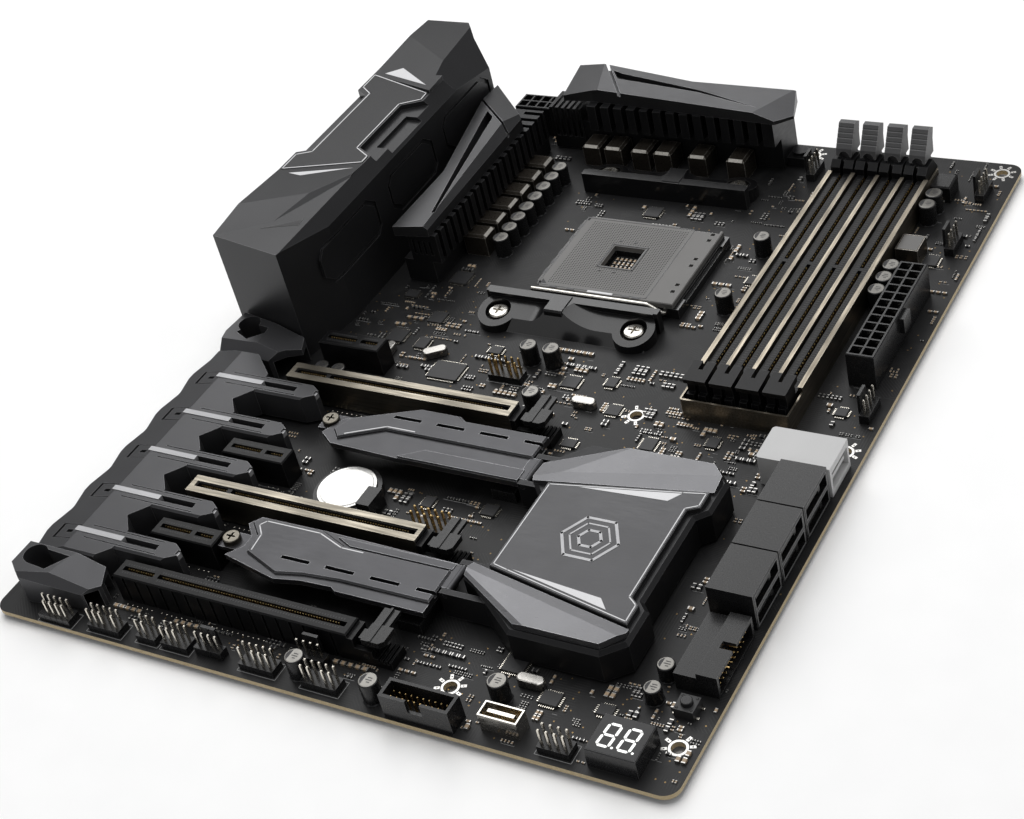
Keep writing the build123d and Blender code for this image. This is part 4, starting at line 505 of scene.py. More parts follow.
COVERED = cover_tree()
BOARD_TREE = BVHTree.FromPolygons(
    [v.co for v in NODES["pcb"].data.vertices], [list(f.vertices) for f in NODES["pcb"].data.polygons]
)
taken = [(*COIL, 8.0, 9.8)]


def is_free(x, y, w, h, margin=0.35):
    """True where a part of that size stands on bare board under open air."""
    for place, size, limit in ((x, w, BOARD_X), (y, h, BOARD_Y)):
        if not (EDGE_GAP < place - size / 2 and place + size / 2 < limit - EDGE_GAP):
            return False
    for tx, ty, tw, th in taken:
        if abs(tx - x) < (tw + w) / 2 + 0.22 and abs(ty - y) < (th + h) / 2 + 0.22:
            return False
    for dx in (-0.5, 0, 0.5):
        for dy in (-0.5, 0, 0.5):
            px, py = x + dx * (w + 2 * margin), y + dy * (h + 2 * margin)
            if COVERED.ray_cast(at(px, py, 90), Vector((0, 0, -1)))[0]:
                return False
            hit = BOARD_TREE.ray_cast(at(px, py, 5), Vector((0, 0, -1)))[0]
            if not hit or hit.z < BOARD_HIGH.z - 0.2 * MM:
                return False
    return True


small = Batch("surface_parts", "ceramic", "resistor", "solder", "chip", "pin", "crystal")
marks = Batch("printed_marks", "ink")
vias = Batch("via_rings", "via_gold", "solder", "dark")


def chip_part(x, y, w, h, tall, finish):
    """A two-ended surface part: a body and two plated ends."""
    along_x = w >= h
    end = 0.22 * max(w, h)
    body_x, body_y = (
        (place - size / 2 + 0.03, place + size / 2 - 0.03) for place, size in ((x, w), (y, h))
    )
    small.block(body_x, body_y, (0.05, tall), 0.06, finish)
    for side in (-1, 1):
        if along_x:
            low = sorted((x + side * w / 2, x + side * (w / 2 - end)))
            small.block(low, (y - h / 2, y + h / 2), (0, tall + 0.04), 0.06, "solder")
        else:
            low = sorted((y + side * h / 2, y + side * (h / 2 - end)))
            small.block((x - w / 2, x + w / 2), low, (0, tall + 0.04), 0.06, "solder")


# Length, width and height of the usual small parts, the commonest more than once.
SIZES = [(1.0, 0.5, 0.4)] * 3 + [(1.6, 0.8, 0.6), (1.6, 0.8, 0.7), (2.0, 1.25, 0.9)]
BANKS = ((1, 1), (2, 1), (3, 1), (5, 1), (4, 2), (6, 1), (1, 3), (1, 4), (3, 2), (2, 2))


def scatter(x, y, count, seed):
    """Banks of alike small parts in straight rows, with the odd single part and tick mark between them."""
    pick = random.Random(seed)
    for _ in range(count // 4):
        length, width, tall = pick.choice(SIZES)
        upright = pick.random() < 0.5
        w, h = (width, length) if upright else (length, width)
        columns, rows = pick.choice(BANKS)
        step_x, step_y = w + pick.choice((0.35, 0.6)), h + pick.choice((0.35, 0.6))
        left, low = round(pick.uniform(*x) * 2) / 2, round(pick.uniform(*y) * 2) / 2
        finish = "ceramic" if pick.random() < 0.5 else "resistor"
        for i in range(columns):
            for j in range(rows):
                cx, cy = left + i * step_x, low + j * step_y
                if is_free(cx, cy, w, h, 0.2) and pick.random() < 0.94:
                    taken.append((cx, cy, w - 0.2, h - 0.2))
                    chip_part(cx, cy, w, h, tall, finish)
        end, under_row = left + columns * step_x, low - h / 2
        inside = end < BOARD_X - 3 and low > 3
        if pick.random() < 0.3 and inside and is_free(end, under_row - 0.36, 0.3, 0.3, 0.05):
            marks.block((left, end), (under_row - 0.42, under_row - 0.3), (0, 0.02))


def via_field(x, y, count, seed):
    """Small plated holes on bare board."""
    pick = random.Random(seed)
    for _ in range(count):
        cx, cy = pick.uniform(*x), pick.uniform(*y)
        if is_free(cx, cy, 0.7, 0.7, 0.1):
            vias.disc(cx, cy, [(0.27, 0.0), (0.24, 0.03)], 8, "via_gold")
            # The hole is a dark disc: painted shade inside the via.
            vias.disc(cx, cy, [(0.13, 0.03), (0.12, 0.036)], 6, "dark")


def leaded_chip(x, y, w, h, tall):
    """A flat chip body with bent legs, where there is room."""
    if not is_free(x, y, w + 1.6, h + 1.6):
        return
    taken.append((x, y, w + 2.0, h + 2.0))
    small.block((x - w / 2, x + w / 2), (y - h / 2, y + h / 2), (0.1, tall), 0.12, "chip")
    small.disc(x - w / 2 + 0.7, y + h / 2 - 0.7, [(0.22, tall - 0.01), (0.2, tall + 0.01)], 10, "resistor")
    legs(x, y, w, h, tall, 0.65)


def legs(x, y, w, h, tall, pitch):
    """Rows of bent legs on the four sides of a chip body."""
    for along_x, length, reach in ((True, w, h), (False, h, w)):
        row, middle = (x, y) if along_x else (y, x)
        count = int((length - 0.6) / pitch)
        for i in range(count):
            leg = row + (i - (count - 1) / 2) * pitch
            across = (leg - 0.13, leg + 0.13)
            for side in (-1, 1):
                near, far = reach / 2, reach / 2 + LEG_REACH
                for start, heights in ((near, (tall * 0.35, tall * 0.5)), (far - 0.45, (0, tall * 0.45))):
                    out = sorted((middle + side * start, middle + side * far))
                    places = (across, out) if along_x else (out, across)
                    small.block(*places, heights, 0.02, "pin")


# Centre, width, length and height of each flat chip.
LEADED = [
    (150.0, 154.0, 4.0, 5.0, 1.1), (101.0, 160.5, 5.0, 4.0, 1.1), (72.0, 158.0, 4.6, 6.0, 1.2),
    (60.0, 160.0, 7.0, 7.0, 1.1),
    (136.0, 151.0, 6.0, 6.0, 1.0), (176.0, 128.0, 5.0, 6.0, 1.1), (196.0, 134.0, 4.0, 5.0, 1.0),
    (160.0, 20.5, 7.0, 7.0, 1.0),
    (196.0, 21.0, 6.0, 5.0, 1.1), (213.0, 22.0, 5.0, 4.0, 1.0), (140.0, 86.0, 5.0, 5.0, 1.0),
    (118.0, 84.0, 4.0, 5.0, 1.0),
    (52.0, 184.0, 5.0, 4.0, 1.0), (176.0, 262.0, 4.0, 4.0, 1.0), (174.0, 218.0, 4.0, 5.0, 1.0),
    (230.0, 158.0, 4.0, 4.0, 1.0),
    (96.0, 256.0, 4.0, 4.0, 1.0), (230.0, 98.0, 4.0, 4.0, 1.0), (224.0, 62.0, 5.0, 5.0, 1.0),
    (150.0, 122.0, 5.0, 4.0, 1.0),
]
for chip in LEADED:
    leaded_chip(*chip)
# Centre and turn of each long metal can.
CRYSTALS = [(80.0, 153.5, 0.6), (146.0, 141.0, 0.0), (188.0, 24.5, 0.0), (62.0, 150.0, 1.57)]


def crystal(x, y, turn):
    """A long round-ended metal can lying on the board."""
    if not is_free(x, y, 6, 5):
        return
    taken.append((x, y, 6, 5))
    way = Vector((math.cos(turn), math.sin(turn)))
    rings = []
    for inset, height in ((0.0, 0.3), (0.0, 2.6), (0.15, 2.95), (0.5, 3.1)):
        ring = []
        for i in range(20):
            a = 2 * math.pi * i / 20
            shift = 2.6 if math.cos(a) > 0 else -2.6
            px, py = shift + (1.9 - inset) * math.cos(a), (1.9 - inset) * math.sin(a)
            ring.append((x + way.x * px - way.y * py, y + way.y * px + way.x * py, height))
        rings.append(ring)
    small.rings(rings, "crystal")


for place in CRYSTALS:
    crystal(*place)
# Where small parts gather: a range along x, a range along y, and how many.
CLUSTERS = [
    ((58, 102), (168, 196), 150), ((84, 152), (234, 268), 190), ((154, 182), (186, 292), 260),
    ((56, 168), (128, 170), 420), ((166, 218), (113, 147), 320), ((217, 242), (148, 300), 330),
    ((60, 152), (64, 92), 260), ((146, 242), (3, 34), 420), ((32, 150), (9, 17), 130),
    ((216, 243), (18, 118), 260), ((36, 62), (144, 192), 150), ((60, 150), (24, 34), 120),
    ((60, 150), (112, 119), 80), ((38, 60), (20, 146), 120), ((98, 154), (190, 238), 60),
    ((56, 62), (190, 290), 40),
]
for index, (area_x, area_y, count) in enumerate(CLUSTERS):
    scatter(area_x, area_y, count, 100 + index)
for index, (area_x, area_y, count) in enumerate(CLUSTERS):
    via_field(area_x, area_y, count // 6, 300 + index)
for (cx0, cx1), (cy0, cy1), (cz0, cz1) in islands("chips"):
    w, h = cx1 - cx0, cy1 - cy0
    if w < 20:
        legs((cx0 + cx1) / 2, (cy0 + cy1) / 2, w, h, cz1, 0.6)

# --- Mounting holes ---
STANDOFFS = [(x, y) for x in HOLE_XS for y in HOLE_YS]
for hole_x, hole_y in STANDOFFS:
    if is_free(hole_x + 3.0, hole_y, 0.6, 0.6, 0.05) or hole_x > 20:
        vias.hoop(hole_x, hole_y, 2.9, 2.15, (0.0, 0.03), 32, "solder")
    for step in range(8):
        angle = math.radians(22.5 + 45 * step)
        c, q = math.cos(angle), math.sin(angle)
        if is_free(hole_x + 3.9 * c, hole_y + 3.9 * q, 1.0, 1.0, 0.05):
            pad = [(hole_x + r * c, hole_y + r * q) for r in (3.55, 4.5)]
            vias.stroke(pad, 1.0, (0.0, 0.07), finish="solder")
            # A dark dot on each pad: painted shade inside its via hole.
            vias.disc(hole_x + 4.0 * c, hole_y + 4.0 * q, [(0.26, 0.07), (0.24, 0.075)], 8, "dark")
    taken.append((hole_x, hole_y, 9.6, 9.6))

# --- Pins and contacts ---
pins = Batch("header_pins", "pin", "gold", "connector", "dark")


def pin(x, y, top, finish="pin", base=0.0, half=0.32):
    pins.block((x - half, x + half), (y - half, y + half), (base, top), 0.22, finish)


for (x0, x1), (y0, y1), (z0, z1) in islands("pin_headers"):
    wide, deep = x1 - x0, y1 - y0
    if z1 < 3:
        columns = round(wide / PIN_PITCH)
        missing = (round(x0) * 7) % columns
        for i in range(columns):
            px = x0 + (i + 0.5) * PIN_PITCH
            for row in range(2):
                if row == 0 and i == missing and x0 < 150:
                    continue
                pin(px, y0 + (row + 0.5) * PIN_PITCH, 8.6, "gold" if y0 > 30 else "pin")
            pins.block((px + 1.16, px + 1.38), (y0 - 0.02, y0 + 0.3), (0, 2.52), 0.05, "dark")
        frame_line = [
            (x0 - 0.7, y0 - 0.7), (x1 + 0.7, y0 - 0.7), (x1 + 0.7, y1 + 0.7), (x0 - 0.7, y1 + 0.7)
        ]
        marks.stroke(frame_line, 0.18, (0, 0.02), closed=True)
    else:
        long_x = wide > deep
        for i in range(4):
            if long_x:
                pin(x0 + (i + 0.5) * wide / 4, y0 + 1.7, 8.8)
            else:
                pin(x1 - 1.7, y0 + (i + 0.5) * deep / 4, 8.8)

for name in ("atx_power_socket", "eps_power_socket"):
    (x0, x1), (y0, y1), (z0, z1) = span(name)
    if name == "atx_power_socket":
        x1 -= 1.7
    else:
        y0 += 1.7
    columns, rows = round((x1 - x0 - 1.2) / POWER_PITCH), round((y1 - y0 - 1.2) / POWER_PITCH)
    for i in range(columns):
        for j in range(rows):
            px, py = x0 + 0.6 + POWER_PITCH * (i + 0.5), y0 + 0.6 + POWER_PITCH * (j + 0.5)
            pin(px, py, 11.0, "pin", 3.6, 0.5)

HEADER_USB, FRONT_USB = islands("usb3_headers")
for i in range(10):
    for row in range(2):
        if (i, row) != (9, 0):
            px, py = HEADER_USB[0][0] + 2.2 + i * 2.0, HEADER_USB[1][0] + 2.6 + row * 2.0
            pin(px, py, 6.6, "gold", 1.6, 0.22)
            reach = (FRONT_USB[0][1] - 5.4, FRONT_USB[0][1] - 0.8)
            fy, fz = FRONT_USB[1][0] + 3.0 + i * 2.0, 3.2 + row * 2.0
            pins.block(reach, (fy - 0.2, fy + 0.2), (fz - 0.2, fz + 0.2), 0.05, "gold")
(x0, x1), (y0, y1), (z0, z1) = span("usb31_front_connector")
for i in range(10):
    for side in (-1, 1):
        py = (y0 + y1) / 2 + side * 0.62
        pins.block(
            (x0 + 2.1 + i * 0.9, x0 + 2.5 + i * 0.9), (py - 0.06, py + 0.06), (1.4, 6.0), 0.02, "gold"
        )

for (x0, x1), (y0, y1), (z0, z1) in islands("sata_stacks"):
    middle = (y0 + y1) / 2
    for port_z in (3.5, 9.7):
        for i in range(7):
            py = middle - 5.4 + i * 1.27
            pins.block(
                (x1 - 7.6, x1 - 1.2), (py - 0.3, py + 0.3), (port_z - 0.36, port_z - 0.3), 0.01, "gold"
            )
rims = Batch("port_rims", "latch_plastic", "white_plastic")
for (x0, x1), (y0, y1), (z0, z1) in islands("sata_stacks"):
    for port_z in (3.5, 9.7):
        low, high, bottom, top = y0 + 1.3, y1 - 1.3, port_z - 2.3, port_z + 2.3
        wide, tall = (low - 0.5, high + 0.5), (bottom, top)
        sides = ((wide, (top, top + 0.55)), (wide, (bottom - 0.45, bottom)), ((low - 0.5, low), tall))
        for rim_y, rim_z in (*sides, ((high, high + 0.5), tall)):
            rims.block((x1 - 0.5, x1 + 0.12), rim_y, rim_z, 0.1)
        rims.block((x1 - 3.0, x1 - 0.2), (high - 2.4, high - 0.1), (top - 0.6, top - 0.1), 0.1)
rims.build(0.08)

# --- Card and memory slot contacts ---
contacts = Batch("slot_contacts", "gold")
for number in range(1, 5):
    (x0, x1), (y0, y1), (z0, z1) = span(f"dimm_slot_{number}")
    middle = (x0 + x1) / 2
    start, end, key = y0 + 10.5, y1 - 9.5, BOARD_Y - 83.2
    count = int((end - start) / 1.7)
    for i in range(count):
        py = start + i * 1.7
        if abs(py - key) > 1.8:
            for side in (-1, 1):
                low = sorted((middle + side * 0.45, middle + side * 0.78))
                contacts.block(low, (py - 0.3, py + 0.3), (3.0, 8.1), 0.1)


def card_contacts(x0, middle, first, count):
    """Two rows of gold contacts in a card slot, left out at its key."""
    for i in range(count):
        px = x0 + first + i
        if abs(px - x0 - CARD_KEY) > 1.6:
            for side in (-1, 1):
                low = sorted((middle + side * 0.6, middle + side * 0.98))
                contacts.block((px - 0.2, px + 0.2), low, (3.4, 10.2), 0.1)


for name in LONG_SLOTS:
    (x0, x1), (y0, y1), (z0, z1) = span(name)
    card_contacts(x0, (y0 + y1) / 2, 3.2, 82)
for (x0, x1), (y0, y1), (z0, z1) in islands("pcie_x1_slots"):
    card_contacts(x0, (y0 + y1) / 2, 2.8, 20)
contacts.build()
ladder = Batch("slot_ladders", "tick", "pin")
for name in ALL_SLOTS:
    for (x0, x1), (y0, y1), (z0, z1) in islands(name):
        middle, top, count = (y0 + y1) / 2, z1, round(min(x1 - x0, LONG_SLOT) - 5)
        for i in range(count):
            px = x0 + 2.9 + i
            if abs(px - x0 - CARD_KEY) < 1.4:
                continue
            for side in (-1, 1):
                low = sorted((middle + side * 1.42, middle + side * 2.15))
                ladder.block((px - 0.24, px + 0.24), low, (top - 0.05, top + 0.035), 0.02, "tick")
                if i % 2 == 0:
                    py = middle + side * 5.1
                    if is_free(px, py, 0.5, 0.5, 0.05):
                        ladder.disc(px, py, [(0.3, 0.0), (0.26, 0.1), (0.12, 0.16)], 8, "pin")
for number in range(1, 5):
    (x0, x1), (y0, y1), (z0, z1) = span(f"dimm_slot_{number}")
    middle = (x0 + x1) / 2
    for i in range(int((y1 - y0 - 24) / 1.2)):
        py = y0 + 11 + i * 1.2
        for side in (-1, 1):
            low = sorted((middle + side * 1.1, middle + side * 2.4))
            ladder.block(low, (py - 0.22, py + 0.22), (8.55, 8.66), 0.03, "tick")
ladder.build()

# --- Capacitors, coils ---
PRISM_FACES = [(0, 1, 2, 3), (7, 6, 5, 4), (0, 4, 5, 1), (1, 5, 6, 2), (2, 6, 7, 3), (3, 7, 4, 0)]
cans = Batch("can_tops", "can_top", "can_mark")
for (x0, x1), (y0, y1), (z0, z1) in islands("capacitors"):
    cx, cy, r = (x0 + x1) / 2, (y0 + y1) / 2, (x1 - x0) / 2
    cans.disc(cx, cy, [(r - 0.32, z1 - 0.05), (r - 0.34, z1 + 0.06), (r - 0.6, z1 + 0.1)], 28)
    turns = [math.radians(a) for a in range(118, 243, 12)]
    arc = [(cx + (r - 0.66) * math.cos(a), cy + (r - 0.66) * math.sin(a)) for a in turns]
    cans.plate(arc, (z1 + 0.1, z1 + 0.115), finish="can_mark")
    for row, (low, high) in enumerate(((-0.3, 1.3), (-0.6, 1.5), (0.1, 1.2))):
        py = cy + 0.85 - row * 0.85
        cans.block((cx + low, cx + high), (py - 0.17, py + 0.17), (z1 + 0.09, z1 + 0.115), 0.0, "can_mark")
    cans.disc(cx, cy, [(r + 0.3, 0.0), (r + 0.3, 0.35), (r, 0.7)], 8, "can_mark")
cans.build()
bevels = Batch("coil_bevels", "choke_edge", "socket_grey")
for (x0, x1), (y0, y1), (z0, z1) in islands("chokes"):
    if z1 < 8:
        bevels.block(
            (x0 + 0.5, x1 - 0.5), (y0 + 0.5, y1 - 0.5), (z1 - 0.05, z1 + 0.06), 0.05, "socket_grey"
        )
        continue
    cut, lift = 0.9, 0.05
    if x1 - x0 > y1 - y0:
        face = [(x1 - cut, z1), (x1, z1 - cut), (x1 + lift, z1 - cut + lift), (x1 - cut + lift, z1 + lift)]
        ends = [[(x, y, z) for x, z in face] for y in (y0 + cut, y1 - cut)]
    else:
        face = [(y0 + cut, z1), (y0, z1 - cut), (y0 - lift, z1 - cut + lift), (y0 + cut - lift, z1 + lift)]
        ends = [[(x, y, z) for y, z in face] for x in (x0 + cut, x1 - cut)]
    bevels.shape(ends[0] + ends[1], PRISM_FACES)
bevels.build()

# --- Processor socket ---
(x0, x1), (y0, y1), (z0, z1) = span("socket_cover")
grid = Batch("contact_holes", "dark", "can_mark", "line", "latch_plastic", body="socket_cover")
middle_x, middle_y = x0 + 25.3, (y0 + y1) / 2
for i in range(39):
    for j in range(39):
        px, py = middle_x + (i - 19) - 1.6, middle_y + (j - 19)
        if abs(px - middle_x) < 7.4 and abs(py - middle_y) < 7.4:
            continue
        # Each contact hole is a dark disc: painted shade inside the hole.
        grid.disc(px, py, [(0.27, z1 - 0.01), (0.26, z1 + 0.012)], 6)
border = [(x0 + 1.0, y0 + 1.2), (x0 + 44.4, y0 + 1.2), (x0 + 44.4, y1 - 1.2), (x0 + 1.0, y1 - 1.2)]
grid.stroke(border, 0.35, (z1, z1 + 0.12), True, "latch_plastic")
window = [(middle_x + i * 6.9, middle_y + j * 6.9) for i, j in ((-1, -1), (1, -1), (1, 1), (-1, 1))]
grid.stroke(window, 0.5, (z1, z1 + 0.25), True, "latch_plastic")
grid.plate(
    [(x0 + 1.9, y0 + 1.9), (x0 + 4.4, y0 + 1.9), (x0 + 1.9, y0 + 4.4)], (z1, z1 + 0.03), finish="can_mark"
)
for step in (-15, -9, -3, 6, 13):
    rib = (middle_y + step, middle_y + step + 3.4)
    grid.block((x0 + 0.1, x0 + 0.8), rib, (z1 - 0.02, z1 + 0.22), 0.08, "latch_plastic")
for step in (-19, -12, 10, 14):
    rib = (middle_x + step, middle_x + step + 3.0)
    grid.block(rib, (y0 + 0.1, y0 + 0.9), (z1 - 0.02, z1 + 0.22), 0.08, "latch_plastic")
grid.block((middle_x - 3.6, middle_x + 6.4), (y0 + 0.06, y0 + 1.1), (z1 - 0.02, z1 + 0.3), 0.1, "line")
for step_x, step_y in ((-5.6, -9.4), (0.2, -9.4), (-5.6, 8.8), (0.2, 8.8)):
    px, py = middle_x + step_x, middle_y + step_y
    grid.block((px, px + 1.2), (py, py + 0.7), (z1, z1 + 0.2), 0.06, "latch_plastic")
grid.build()
wells = Batch("socket_window", "dark", "gold", "ceramic", "solder")
base_top = span("socket_base")[2][1]
floor_x, floor_y = ((middle - 6.1, middle + 6.1) for middle in (middle_x, middle_y))
wells.block(floor_x, floor_y, (base_top - 2.41, base_top - 2.3), 0.02)
for i in range(6):
    for j in range(4):
        px, py = middle_x - 4.4 + i * 1.75, middle_y - 4.2 + j * 2.5
        wells.block(
            (px - 0.42, px + 0.42), (py - 0.8, py + 0.8), (base_top - 2.3, base_top - 1.4), 0.08, "ceramic"
        )
        for side in (-1, 1):
            low = sorted((py + side * 0.86, py + side * 0.5))
            wells.block((px - 0.46, px + 0.46), low, (base_top - 2.3, base_top - 1.34), 0.08, "solder")
wells.build()

# --- Debug display ---
(x0, x1), (y0, y1), (z0, z1) = span("debug_display")
digits = Batch("display_digits", "segment", "chip")
digits.block((x0 + 0.5, x1 - 0.5), (y0 + 0.5, y1 - 0.5), (z1 - 0.02, z1 + 0.04), 0.03, "chip")


def segment(a, b, half=0.42):
    """A six-sided bar between two points."""
    a, b = Vector((*a, 0)), Vector((*b, 0))
    way = (b - a).normalized()
    side = Vector((-way.y, way.x, 0)) * half
    tip = way * half
    outline = [a, a + tip - side, b - tip - side, b, b - tip + side, a + tip + side]
    digits.rings([[(p.x, p.y, z) for p in outline] for z in (z1 + 0.03, z1 + 0.08)], "segment")


# The ends of the seven bars of a digit, on a grid two wide and three high.
BARS = [((0, j), (1, j)) for j in range(3)] + [((i, j), (i, j + 1)) for i in (0, 1) for j in (0, 1)]
for column in range(2):
    left, low = x0 + 2.6 + column * 6.2, y0 + 2.6
    w, h, lean = 3.6, 7.8, 0.75
    corners = {
        (i, j): (left + i * w + lean * j / 2, low + j * h / 2) for i in (0, 1) for j in (0, 1, 2)
    }
    for a, b in BARS:
        p, q = Vector(corners[a]), Vector(corners[b])
        gap = (q - p).normalized() * 0.18
        segment(p + gap, q - gap)
    digits.disc(left + w + 1.15, low + 0.1, [(0.42, z1 + 0.03), (0.4, z1 + 0.08)], 12, "segment")
digits.build()

# --- Push button and battery ---
(x0, x1), (y0, y1), (z0, z1) = span("tact_switch_body")
tact = Batch("button_rivets", "pin", "connector")
for px in (x0 + 0.8, x1 - 0.8):
    for py in (y0 + 0.8, y1 - 0.8):
        tact.disc(px, py, [(0.42, z1), (0.38, z1 + 0.12), (0.2, z1 + 0.2)], 12, "connector")
for px in (x0 - 1.0, x1):
    for py in (y0 + 0.8, y1 - 1.5):
        tact.block((px, px + 1.0), (py, py + 0.7), (0, 0.5), 0.1, "pin")
tact.build()
(x0, x1), (y0, y1), (z0, z1) = span("battery")
cell = Batch("cell_face", "cell")
cx, cy, r = (x0 + x1) / 2, (y0 + y1) / 2, (x1 - x0) / 2
cell.disc(cx, cy, [(r - 1.2, z1 - 0.02), (r - 1.25, z1 + 0.05), (r - 1.6, z1 + 0.08)], 48)
for step in range(3):
    ring_r = r - 2.6 - step * 0.5
    cell.hoop(cx, cy, ring_r, ring_r - 0.2, (z1 + 0.07, z1 + 0.1))
cell.build()

# --- Lines and light triangles on covers ---
lines = Batch("cover_lines", "line", "cover_grey")
# The inset plate's corners: x, and the distance below the board's top edge.
PLATE_CORNERS = [
    (1.4, 45.4), (32.4, 55.0), (32.6, 59.7), (25.0, 64.2), (25.0, 95.8), (32.8, 100.3),
    (32.8, 104.4), (1.6, 114.0), (1.6, 104.2), (7.4, 101.3), (7.4, 58.8), (1.6, 54.8),
]
PLATE_MIDDLE = (17.0, BOARD_Y - 80)
plate_top = span("io_cover_plate")[2][1]
inner = []
for corner_x, corner_drop in PLATE_CORNERS:
    dx, dy = corner_x - PLATE_MIDDLE[0], BOARD_Y - corner_drop - PLATE_MIDDLE[1]
    inner.append((PLATE_MIDDLE[0] + dx * 0.955, PLATE_MIDDLE[1] + dy * 0.982))
lines.stroke(inner, 0.42, (plate_top, plate_top + 0.07), closed=True)


def skin(x, y):
    """The height of the outer surface under open air."""
    return (COVERED.ray_cast(at(x, y, 90), Vector((0, 0, -1)))[0].z - BOARD_HIGH.z) / MM


def drape(batch, outline, finish, lift=0.09):
    """A thin counter-clockwise patch that lies on the surface below it."""
    heights = [skin(x, y) for x, y in outline]
    batch.rings([[(x, y, h + z) for (x, y), h in zip(outline, heights)] for z in (-0.3, lift)], finish)


FAR_FLASH = [(6.0, 260.4), (29.7, 253.0), (12.2, 264.4)]
NEAR_FLASH = [(6.9, 189.0), (12.9, 188.0), (31.0, 196.6)]
NEAR_PATCH = [(17.0, 155.0), (31.0, 160.0), (30.4, 163.4), (26.0, 160.4)]
drape(lines, FAR_FLASH, "line")
drape(lines, NEAR_FLASH, "line")
drape(lines, NEAR_PATCH, "cover_grey")
lines.build()
SHIELD_LINES = {
    "m2_shield_upper": [(80.4, 96.6), (93.2, 103.4), (104.0, 103.4)],
    "m2_shield_lower": [
        (81.4, 39.6), (80.6, 46.4), (77.4, 50.0), (79.0, 52.2), (99.6, 52.2), (110.0, 48.4), (118.0, 48.4),
    ],
}
for body, path in SHIELD_LINES.items():
    z1 = span(body)[2][1]
    strip = Batch(body + "_lines", "line", body=body)
    strip.stroke(path, 0.4, (z1 - 0.02, z1 + 0.05))
    strip.build()

# --- Chipset plate ---
PANEL_OUTLINE = [
    (162.6, 53.4), (167.9, 52.2), (211.2, 43.4), (211.2, 50.0), (208.0, 52.4),
    (208.0, 90.6), (211.6, 92.8), (211.6, 98.2), (204.5, 96.8), (162.6, 89.6),
]
EMBLEM = (186.0, 71.0)
EMBLEM_R = 9.5
z1 = span("chipset_plate")[2][1]
panel = Batch("chipset_lines", "line", "accent", "grey_alu")
panel.stroke(PANEL_OUTLINE, 0.34, (z1, z1 + 0.08), closed=True)
panel.plate([(204.6, 96.3), (172.0, 90.7), (201.6, 92.2)], (z1, z1 + 0.1), 0.1)
panel.plate([(169.0, 52.8), (203.8, 45.8), (200.4, 49.6)], (z1, z1 + 0.1), 0.1)
for scale, width in ((1.0, 0.9), (0.72, 0.5), (0.4, 0.9)):
    r, turns = EMBLEM_R * scale, [math.radians(a) for a in range(0, 360, 60)]
    hexagon = [(EMBLEM[0] + r * math.cos(a), EMBLEM[1] + r * math.sin(a)) for a in turns]
    panel.stroke(hexagon, width, (z1, z1 + 0.08), closed=True, finish="accent")
panel.build()

# --- Small parts gathered above ---
for parts in (small, marks, vias, pins):
    parts.build()

# --- Rear sockets ---
def ring_x(batch, y, z, outer, inner, x, finish, sides=28):
    """A ring about a line along the board's x."""
    loops = [(inner, x[0]), (outer, x[0]), (outer, x[1]), (inner, x[1])]
    spin = [(math.cos(2 * math.pi * i / sides), math.sin(2 * math.pi * i / sides)) for i in range(sides)]
    points = [(px, y + c * radius, z + q * radius) for radius, px in loops for c, q in spin]
    faces = []
    for a in range(4):
        for i in range(sides):
            k, b = (i + 1) % sides, (a + 1) % 4
            faces.append([a * sides + i, b * sides + i, b * sides + k, a * sides + k])
    batch.shape(points, faces, finish)


rear = Batch(
    "rear_details", "dark", "red", "blue", "green", "pink", "gold", "port_steel", "latch_plastic", "line"
)
FLAT_USB = (
    (PS2_Y, (4.6, 12.6), "dark"), (USB_Y, (4.2, 11.2, 18.2, 25.2), "blue"),
    (LAN_Y, (4.6, 11.6), "blue"), (GEN2_Y, (4.6,), "red"),
)
JACKS = (
    (AUDIO_Y - JACK_SIDE, 6, "pink"), (AUDIO_Y - JACK_SIDE, 17, "dark"), (AUDIO_Y - JACK_SIDE, 28, "line"),
    (AUDIO_Y + JACK_SIDE, 6, "green"), (AUDIO_Y + JACK_SIDE, 17, "blue"),
)
for y, heights, colour in FLAT_USB:
    for z in heights:
        rear.block(
            (PORT_FACE + 0.76, PORT_FACE + 8.8), (y - 5.74, y + 5.74), (z + 0.16, z + 2.04), 0.1, colour
        )
        for i in range(4):
            py = y - 3.75 + i * 2.5
            rear.block(
                (PORT_FACE + 1.6, PORT_FACE + 7.6), (py - 0.5, py + 0.5), (z + 0.1, z + 0.2), 0.02, "gold"
            )
        for side in (-1, 1):
            lip = z + side * 2.95
            depth, height = (PORT_FACE - 0.02, PORT_FACE + 0.3), (lip - 0.08, lip + 0.08)
            rear.block(depth, (y - 6.9, y + 6.9), height, 0.03, "port_steel")
for i in range(8):
    py = LAN_Y - 3.6 + i * 1.02
    rear.block((PORT_FACE + 2.5, PORT_FACE + 9.5), (py - 0.2, py + 0.2), (25.4, 25.8), 0.05, "gold")
for y, finish in ((LAN_Y - 6.6, "green"), (LAN_Y + 6.6, "gold")):
    rear.block((PORT_FACE - 0.05, PORT_FACE + 0.4), (y - 1.0, y + 1.0), (26.6, 28.0), 0.15, finish)
for y, z, finish in JACKS:
    ring_x(rear, y, z, 3.15, 1.9, (PORT_FACE - 0.06, PORT_FACE + 0.7), finish)
    ring_x(rear, y, z, 2.1, 1.75, (PORT_FACE - 0.1, PORT_FACE + 1.2), "gold")
ring_x(rear, PS2_Y, PS2_Z, 4.6, 3.5, (PORT_FACE + 0.5, PORT_FACE + 1.6), "latch_plastic")
# Six dark rings round the middle: painted shade inside the pin holes.
for i in range(6):
    angle = math.radians(30 + 60 * i)
    py, pz = PS2_Y + 2.1 * math.cos(angle), PS2_Z + 2.1 * math.sin(angle)
    ring_x(rear, py, pz, 0.42, 0.1, (PORT_FACE + 1.3, PORT_FACE + 1.46), "dark", 10)
rear.build(0.03)

# --- Underside ---
under = Batch("solder_joints", "pin", "solder", "gold")
BACKPLATE = span("cooler_backplate")[:2]


